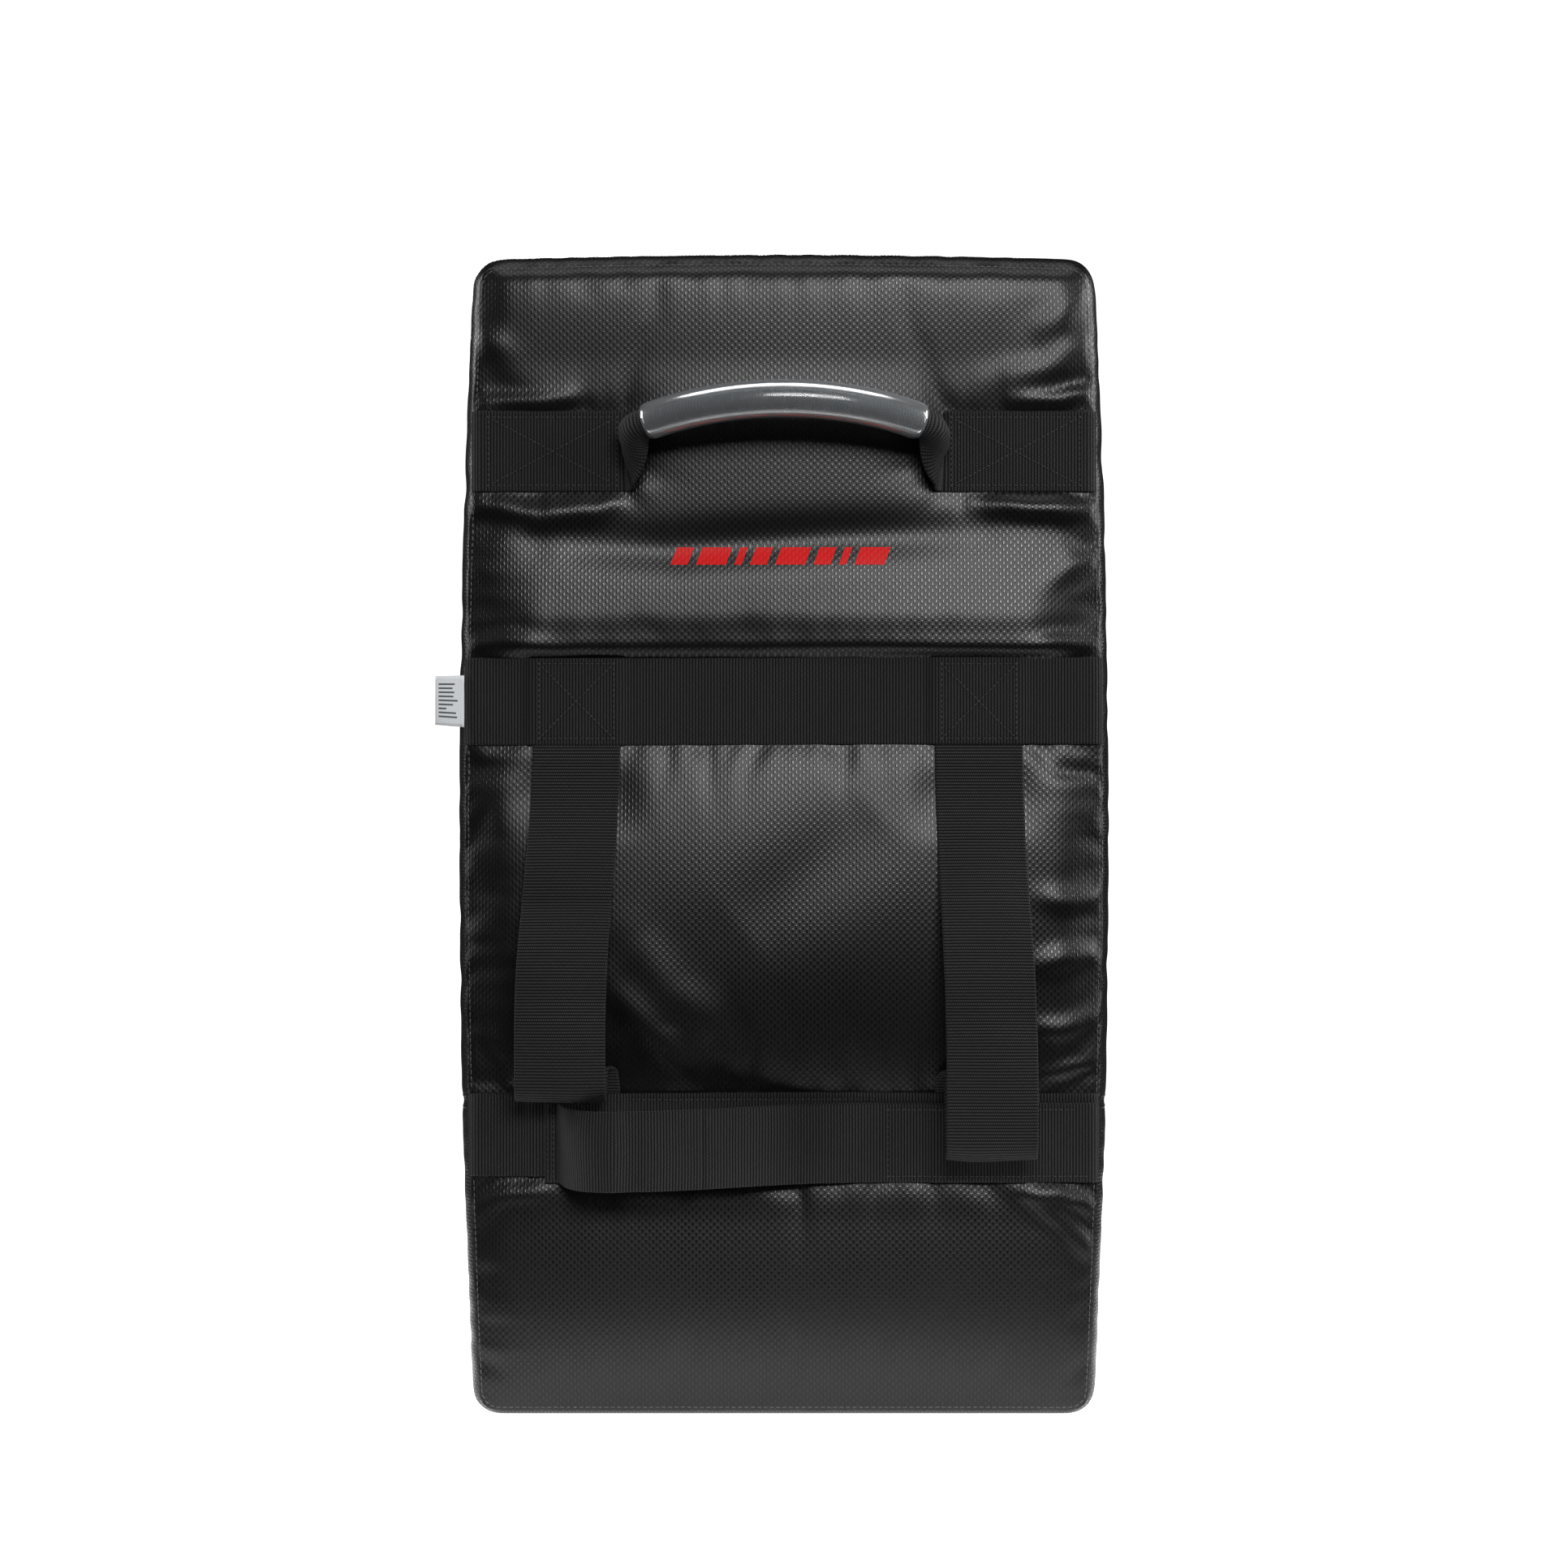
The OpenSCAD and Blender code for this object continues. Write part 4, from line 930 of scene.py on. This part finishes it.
def stitches(name, lines, nodes, thread, pitch=3.9, length=3.3, width=0.75, proud=0.8, seed=1):
    """Rows of stitches along lines of (point, facing) in millimetres, which stand for these CAD thread nodes."""
    points, facings, edges = [], [], []
    for row in lines:
        start = len(points)
        points += [p for p, _ in row]
        facings += [f for _, f in row]
        edges += [(start + k, start + k + 1) for k in range(len(row) - 1)]
    mesh = bpy.data.meshes.new(name + "_rows")
    mesh.from_pydata((np.array(points) * 0.001).tolist(), edges, [])
    faced = mesh.attributes.new("facing", "FLOAT_VECTOR", "POINT")
    faced.data.foreach_set("vector", np.array(facings, np.float32).ravel())
    rows_obj = bpy.data.objects.new(name + "_rows", mesh)
    bpy.context.scene.collection.objects.link(rows_obj)
    sewing = rows_obj.modifiers.new("Stitching", "NODES")
    sewing.node_group = lockstitch
    values = {"Stitch length": length / 1000, "Pitch": pitch / 1000, "Thread width": width / 1000,
              "Stands proud": proud / 1000, "Sway": 0.10, "Seed": seed, "Thread": thread}
    for socket in lockstitch.interface.items_tree:
        if socket.item_type == "SOCKET" and socket.in_out == "INPUT" and socket.name in values:
            sewing[socket.identifier] = values[socket.name]
    done = rows_obj.evaluated_get(bpy.context.evaluated_depsgraph_get())
    sewn_mesh = bpy.data.meshes.new_from_object(done)
    bpy.data.objects.remove(rows_obj)
    obj = bpy.data.objects.new(name, sewn_mesh)
    bpy.context.scene.collection.objects.link(obj)
    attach(obj, "shield")
    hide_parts(*nodes)


def ring_of(inset):
    """The outline, drawn in from the seams, as one closed loop of points 4 mm apart."""
    bottom, right, top, left = outline(seam_in_side + inset, seam_in_top + inset, seam_in_bottom + inset,
                                       corner_radius - inset)
    loop_line = np.concatenate([bottom, right[1:], top[::-1][1:], left[::-1][1:]])
    return along(loop_line, np.linspace(0, 1, int(distances(loop_line)[-1] / 4)))


flat_ring = ring_of(2.4)
webbed = lambda x, z: any(x0 - 1 < x < x1 + 1 and z0 - 1 < z < z1 + 1 for x0, x1, z0, z1 in held)
back_rows, current = [], []
for spot in laid([(x, 0, z) for x, z in flat_ring], (0, 1, 0)):     # the row dives under each band's end
    if webbed(spot[0][0], spot[0][2]):
        if len(current) > 1:
            back_rows.append(current)
        current = []
    else:
        current.append(spot)
back_rows.append(current)
stitches("back_seam_stitches", back_rows, ["back_seam_thread"], seam_thread_painted_lighter, seed=3)
front_row = laid([(x, 0, z) for x, z in flat_ring], (0, -1, 0))
stitches("front_seam_stitches", [front_row], ["front_seam_thread"], seam_thread_painted_lighter, seed=4)
join_rows = []
for way in (1, -1):
    for z in (join_z - 3.4, join_z + 3.4):
        join_rows.append(laid([(0, y, z) for y in np.arange(-seam_y + 4, seam_y - 3.9, 4)], (-way, 0, 0)))
stitches("gusset_join_stitches", join_rows, ["gusset_join_thread"], seam_thread_painted_lighter, seed=5)


def row(x0, z0, x1, z1, stand):
    """A straight row on webbing, whose surface stands off the panel by stand(x)."""
    n = max(2, int(math.hypot(x1 - x0, z1 - z0) / 3))
    return [((x, -panel_y - stand(x), z), (0, -1, 0)) for x, z in zip(np.linspace(x0, x1, n), np.linspace(z0, z1, n))]


def boxed(x0, x1, z0, z1, stand):
    """A stitched box with a cross in it."""
    return [row(x0, z0, x1, z0, stand), row(x0, z1, x1, z1, stand), row(x0, z0, x0, z1, stand),
            row(x1, z0, x1, z1, stand), row(x0, z0, x1, z1, stand), row(x0, z1, x1, z0, stand)]


on_tab = lambda x: lie_gap + web_t - float(tucked(abs(x), tab_reach))
on_band = lambda x: float(climbing(x, lie_gap, arm_ends)) + web_t
on_hand = lambda x: float(climbing(x, right_lie, [arm_ends[1]])) + web_t / 2 - float(tucked(abs(x), base_reach))
on_tail = lambda x: left_lie + web_t / 2
tab_rows = []
for sign in (1, -1):
    inner, outer = sign * (tab_in + 4), sign * (tab_reach - 10)
    tab_rows += boxed(inner, outer, tab_low[2] + 4, tab_high[2] - 4, on_tab)
    tab_rows.append(row(sign * (tab_in + 9), tab_low[2] + 4, sign * (tab_in + 9), tab_high[2] - 4, on_tab))
stitches("handle_tab_stitches", tab_rows, ["handle_tab_thread"], thread_black, pitch=3.2, length=2.5, seed=6)
cross_rows = []
for x in (left_arm_x, right_arm_x):
    cross_rows += boxed(x - arm_half + 4, x + arm_half - 4, cross_low[2] + 4, cross_high[2] - 4, on_band)
stitches("cross_band_stitches", cross_rows, ["cross_band_thread"], thread_black, pitch=3.2, length=2.5, seed=7)
base_from, base_to = left_arm_x + arm_half + 8, hand_right - 8
stitches("base_band_stitches", [row(base_from, base_high[2] - 4, base_to, base_high[2] - 4, on_band),
                                row(base_from, base_low[2] + 2, base_to, base_low[2] + 2, on_band)],
         ["base_band_thread"], thread_black, pitch=3.2, length=2.5, seed=8)
hand_bottom, hand_top = hand_mid - hand_half + 4, hand_mid + hand_half - 4
hand_rows = [row(x, hand_bottom, x, hand_top, on_tail) for x in (hand_left - 5.5, hand_left - 2)]
hand_rows += [row(hand_right + 2, hand_bottom, hand_right + 2, hand_top, on_hand),
              row(hand_right + 2, hand_top, right_arm_x + arm_half + 30, hand_top, on_hand),
              row(hand_right + 2, hand_bottom, base_reach - 8, hand_bottom, on_hand)]
stitches("hand_strap_stitches", hand_rows, ["hand_strap_thread"], thread_black, pitch=3.2, length=2.5, seed=9)

# ---- Care label ----
# A folded satin ribbon caught in the left side seam, printed with the usual care lines, which are left as plain bars.
label_low, label_high = box_mm("care_label")
satin, tree, shader = material("Polyester satin ribbon, grey")
uv_node = add(tree, "ShaderNodeUVMap", uv_map="cloth")
xyz = add(tree, "ShaderNodeSeparateXYZ", {0: uv_node.outputs[0]})
lines_at = add(tree, "ShaderNodeMath", {0: xyz.outputs[1], 1: 1 / 0.0026}, operation="MULTIPLY")
saw = add(tree, "ShaderNodeMath", {0: lines_at.outputs[0]}, operation="FRACT")
printed = add(tree, "ShaderNodeMath", {0: saw.outputs[0], 1: 0.42}, operation="LESS_THAN")
number = add(tree, "ShaderNodeMath", {0: lines_at.outputs[0]}, operation="FLOOR")
length_of = add(tree, "ShaderNodeTexWhiteNoise", {"W": number.outputs[0]}, noise_dimensions="1D")
ends = add(tree, "ShaderNodeMapRange", {0: length_of.outputs[0], 1: 0.0, 2: 1.0, 3: 0.007, 4: 0.0145})
before = add(tree, "ShaderNodeMath", {0: xyz.outputs[0], 1: ends.outputs[0]}, operation="LESS_THAN")
after = add(tree, "ShaderNodeMath", {0: xyz.outputs[0], 1: 0.0022}, operation="GREATER_THAN")
inside_top = add(tree, "ShaderNodeMath", {0: xyz.outputs[1], 1: 0.028}, operation="LESS_THAN")
inside_low = add(tree, "ShaderNodeMath", {0: xyz.outputs[1], 1: 0.0045}, operation="GREATER_THAN")
mask = printed
for part in (before, after, inside_top, inside_low):
    mask = add(tree, "ShaderNodeMath", {0: mask.outputs[0], 1: part.outputs[0]}, operation="MULTIPLY")
threads = add(tree, "ShaderNodeTexWave", {"Vector": uv_node.outputs[0], "Scale": 420.0, "Distortion": 1.5},
              bands_direction="X")
sheen = add(tree, "ShaderNodeMix", {0: threads.outputs[1], 6: linear("#b9bcbf"), 7: linear("#d3d5d7")},
            data_type="RGBA")
inked = add(tree, "ShaderNodeMix", {0: mask.outputs[0], 6: sheen.outputs[2], 7: linear("#4b4d50")}, data_type="RGBA")
relief = add(tree, "ShaderNodeBump", {"Height": threads.outputs[1], "Strength": 0.5, "Distance": 0.00006})
wire(tree, shader, {"Base Color": inked.outputs[2], "Normal": relief.outputs[0], "Roughness": 0.38, "IOR": 1.5,
                    "Sheen Weight": 0.2})
label_root = label_high[0] + 3.0
wide, tall = np.linspace(0, label_root - label_low[0], 13), np.linspace(0, label_high[2] - label_low[2], 15)
label_points, label_uv_at = [], []
for off in (0.26, 0.0):
    for v in tall:
        for u in wide:
            drift = 0.5 * math.sin(u / 7) + 0.35 * math.sin(v / 9 + 0.6)
            slope = 0.10 * (label_root - label_low[0] - u) * (v / tall[-1])
            loose = 1 - u / wide[-1]
            label_points.append((label_low[0] + u, label_low[1] + off - drift * loose,
                                 label_low[2] + v - slope + 1.5 * loose))
            label_uv_at.append((u / 1000, v / 1000))
w = len(wide)
front_side = [[j * w + i for j, i in corners] for corners in cells_of(len(tall), w)]
n = w * len(tall)
label_faces = [[v + n for v in f] for f in front_side] + [f[::-1] for f in front_side]
border = [j * w + i for j, i in edge_of(len(tall), w)]
label_faces += [[a + n, a, b, b + n] for a, b in zip(border, border[1:] + border[:1])]
label = piece("satin_care_label", label_points, label_faces, [label_uv_at[v] for f in label_faces for v in f], satin)
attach(label, "label_flap")
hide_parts("care_label")

# ---- Prints ----
# Screen-printed ink on the embossed vinyl: plain bars, diamonds and a chevron of five lines. The ink is thin, so
# the embossing shows through it, and it is painted paler on the crowns of the ovals, in patches, as painted highlight.
ink_film = 0.12


def ink(name, fresh, painted_highlight_hex):
    """Screen ink with a dull, flat colour, painted a little paler on the crowns of the ovals in patches, as painted
    highlight.
    """
    m, tree, shader = material(name)
    ovals = embossing(tree)
    coords = add(tree, "ShaderNodeTexCoord")
    patch = add(tree, "ShaderNodeTexNoise", {"Vector": coords.outputs["Object"], "Scale": 700.0, "Detail": 3.0})
    # The ink is painted paler on the crowns of the ovals, in patches: painted highlight.
    painted_highlight_mask = add(tree, "ShaderNodeMath", {0: patch.outputs[0], 1: ovals.outputs[0]}, operation="MULTIPLY")
    tone = add(tree, "ShaderNodeMix", {0: painted_highlight_mask.outputs[0], 6: linear(fresh), 7: linear(painted_highlight_hex)}, data_type="RGBA")
    relief = add(tree, "ShaderNodeBump", {"Height": ovals.outputs[0], "Strength": 1.0, "Distance": oval_depth})
    wire(tree, shader, {"Base Color": tone.outputs[2], "Normal": relief.outputs[0], "Roughness": 0.46,
                        "Specular IOR Level": 0.2, "IOR": 1.5})
    return m


def quad(a, b, c, d, cell=2.2):
    """A quadrilateral in the panel's plane, divided so that it can follow the vinyl."""
    a, b, c, d = (np.array(p, float) for p in (a, b, c, d))
    nu = max(1, int(max(np.linalg.norm(b - a), np.linalg.norm(c - d)) / cell))
    nv = max(1, int(max(np.linalg.norm(d - a), np.linalg.norm(c - b)) / cell))
    u, v = np.linspace(0, 1, nu + 1)[None, :, None], np.linspace(0, 1, nv + 1)[:, None, None]
    return (1 - v) * ((1 - u) * a + u * b) + v * ((1 - u) * d + u * c)


def printed_on(name, shapes, direction, finish):
    """Ink that lies on the vinyl, a film proud of it."""
    points, faces, uv = [], [], []
    for g in shapes:
        nv, nu = g.shape[:2]
        start = len(points)
        spots = laid([(x, 0, z) for x, z in g.reshape(-1, 2)], direction)
        points += [p + ink_film * f for p, f in spots]
        for order in cells_of(nv, nu):
            e1, e2 = g[order[1]] - g[order[0]], g[order[3]] - g[order[0]]
            if (e1[0] * e2[1] - e1[1] * e2[0] < 0) != (direction[1] < 0):
                order = order[::-1]
            faces.append([start + a * nu + b for a, b in order])
            uv += [g[a, b] / 1000 for a, b in order]
    obj = piece(name, points, faces, uv, finish)
    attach(obj, "shield")


def stroke(p, q, width):
    """A straight line of ink from p to q."""
    p, q = np.array(p, float), np.array(q, float)
    across_line = np.array([-(q - p)[1], (q - p)[0]]) / np.linalg.norm(q - p) * width / 2
    return quad(p - across_line, q - across_line, q + across_line, p + across_line)


red = ink("Plastisol ink, red", "#b90c0e", "#cf1a18")
bars = []
x = -70.0
for length in (14, 22, 8, 14, 22, 14, 8, 22):
    bars.append(quad((x, 526), (x + length - 3.4, 526), (x + length + 0.6, 537), (x + 4, 537)))
    x += length + 1.6
printed_on("back_bars_print", bars, (0, 1, 0), red)
marks = []
for k in range(5):
    x, z, r = (k - 2) * 38.5, 654.0, 7.0
    tips = [(x, z - r), (x + r, z), (x, z + r), (x - r, z)]
    if k % 2 == 0:
        marks.append(quad(*tips))
    else:
        marks += [stroke(tips[t], tips[(t + 1) % 4], 1.2) for t in range(4)]
z = 284.0
for height in (34, 18, 26, 10, 34, 26):
    marks.append(quad((-18, z), (10, z + 7), (10, z + 7 + height - 5), (-18, z + height - 5)))
    z += height + 2
for k, wide_by in enumerate((1.3, 0.75, 0.75, 0.75, 0.75)):
    drop = 4.2 * k
    for sign in (1, -1):
        marks.append(stroke((sign * 188, 51 - drop), (0, 250 - drop), wide_by))
printed_on("front_marks_print", marks, (0, -1, 0), red)

# ---- Studio ----
# A disc of white paper for a floor, and soft boxes of light: a broad one high in front and one high behind, a
# weak one overhead, a strip at each side and a box at each side further back. The surround is white only to
# the camera, so that it doesn't light the pad.
floor_mat, tree, shader = material("Matt white paper")
coords = add(tree, "ShaderNodeTexCoord")
fibre = add(tree, "ShaderNodeTexNoise", {"Vector": coords.outputs["Object"], "Scale": 3.0})
paper = add(tree, "ShaderNodeMix", {0: fibre.outputs[0], 6: linear("#f4f4f4"), 7: linear("#fafafa")}, data_type="RGBA")
wire(tree, shader, {"Base Color": paper.outputs[2], "Roughness": 0.9, "Emission Color": (1, 1, 1, 1),
                    "Emission Strength": 0.85})
rim_angles = np.linspace(0, 2 * np.pi, 96, endpoint=False)
floor_radius, floor_back = 600, 300
floor_edge = np.stack([floor_radius * np.cos(rim_angles), floor_back + floor_radius * np.sin(rim_angles),
                       0 * rim_angles], 1)
floor = piece("floor", floor_edge, [list(range(len(rim_angles)))], None, floor_mat)

world = bpy.data.worlds.new("Studio")
bpy.context.scene.world = world
world.use_nodes = True
tree = world.node_tree
background = tree.nodes["Background"]
seen = add(tree, "ShaderNodeBackground", {"Color": (1, 1, 1, 1), "Strength": 1.0})
ray = add(tree, "ShaderNodeLightPath")
background.inputs["Color"].default_value = (1, 1, 1, 1)
background.inputs["Strength"].default_value = 0.02
blend = add(tree, "ShaderNodeMixShader",
            {0: ray.outputs["Is Camera Ray"], 1: background.outputs[0], 2: seen.outputs[0]})
tree.links.new(blend.outputs[0], tree.nodes["World Output"].inputs[0])

for name, place, aim, width, tall, power in (
        ("high front box", (0.35, -2.4, 1.38), (0, -0.07, 0.4), 1.2, 0.66, 44),
        ("overhead box", (0.0, -0.25, 2.2), (0, -0.1, 0.0), 1.8, 0.7, 9),
        ("left strip", (-1.5, -0.35, 0.7), (0, -0.07, 0.4), 0.2, 1.3, 5),
        ("right strip", (1.5, -0.5, 0.8), (0, -0.07, 0.4), 0.2, 1.3, 12),
        ("high rear box", (-0.35, 2.4, 1.42), (0, 0.07, 0.4), 1.2, 0.62, 40),
        ("left side box", (-2.4, 0.35, 1.3), (0, 0.05, 0.4), 0.6, 1.1, 26),
        ("right side box", (2.4, 0.35, 1.3), (0, 0.05, 0.4), 0.6, 1.1, 26)):
    lamp = bpy.data.lights.new(name, "AREA")
    lamp.shape, lamp.size, lamp.size_y, lamp.energy = "RECTANGLE", width, tall, power
    holder = bpy.data.objects.new(name, lamp)
    holder.location = place
    holder.rotation_euler = (Vector(aim) - Vector(place)).to_track_quat("-Z", "Y").to_euler()
    bpy.context.scene.collection.objects.link(holder)

lens = bpy.data.cameras.new("camera")
lens.lens, lens.sensor_width = 74.5, 36.0
camera = bpy.data.objects.new("camera", lens)
camera.location = (0.0, -2.07, 0.391)
camera.rotation_euler = (math.pi / 2, 0, 0)
bpy.context.scene.collection.objects.link(camera)
bpy.context.scene.camera = camera
bpy.context.scene.view_settings.view_transform = "Standard"
bpy.context.scene.view_settings.look = "Medium High Contrast"

bpy.context.view_layer.update()
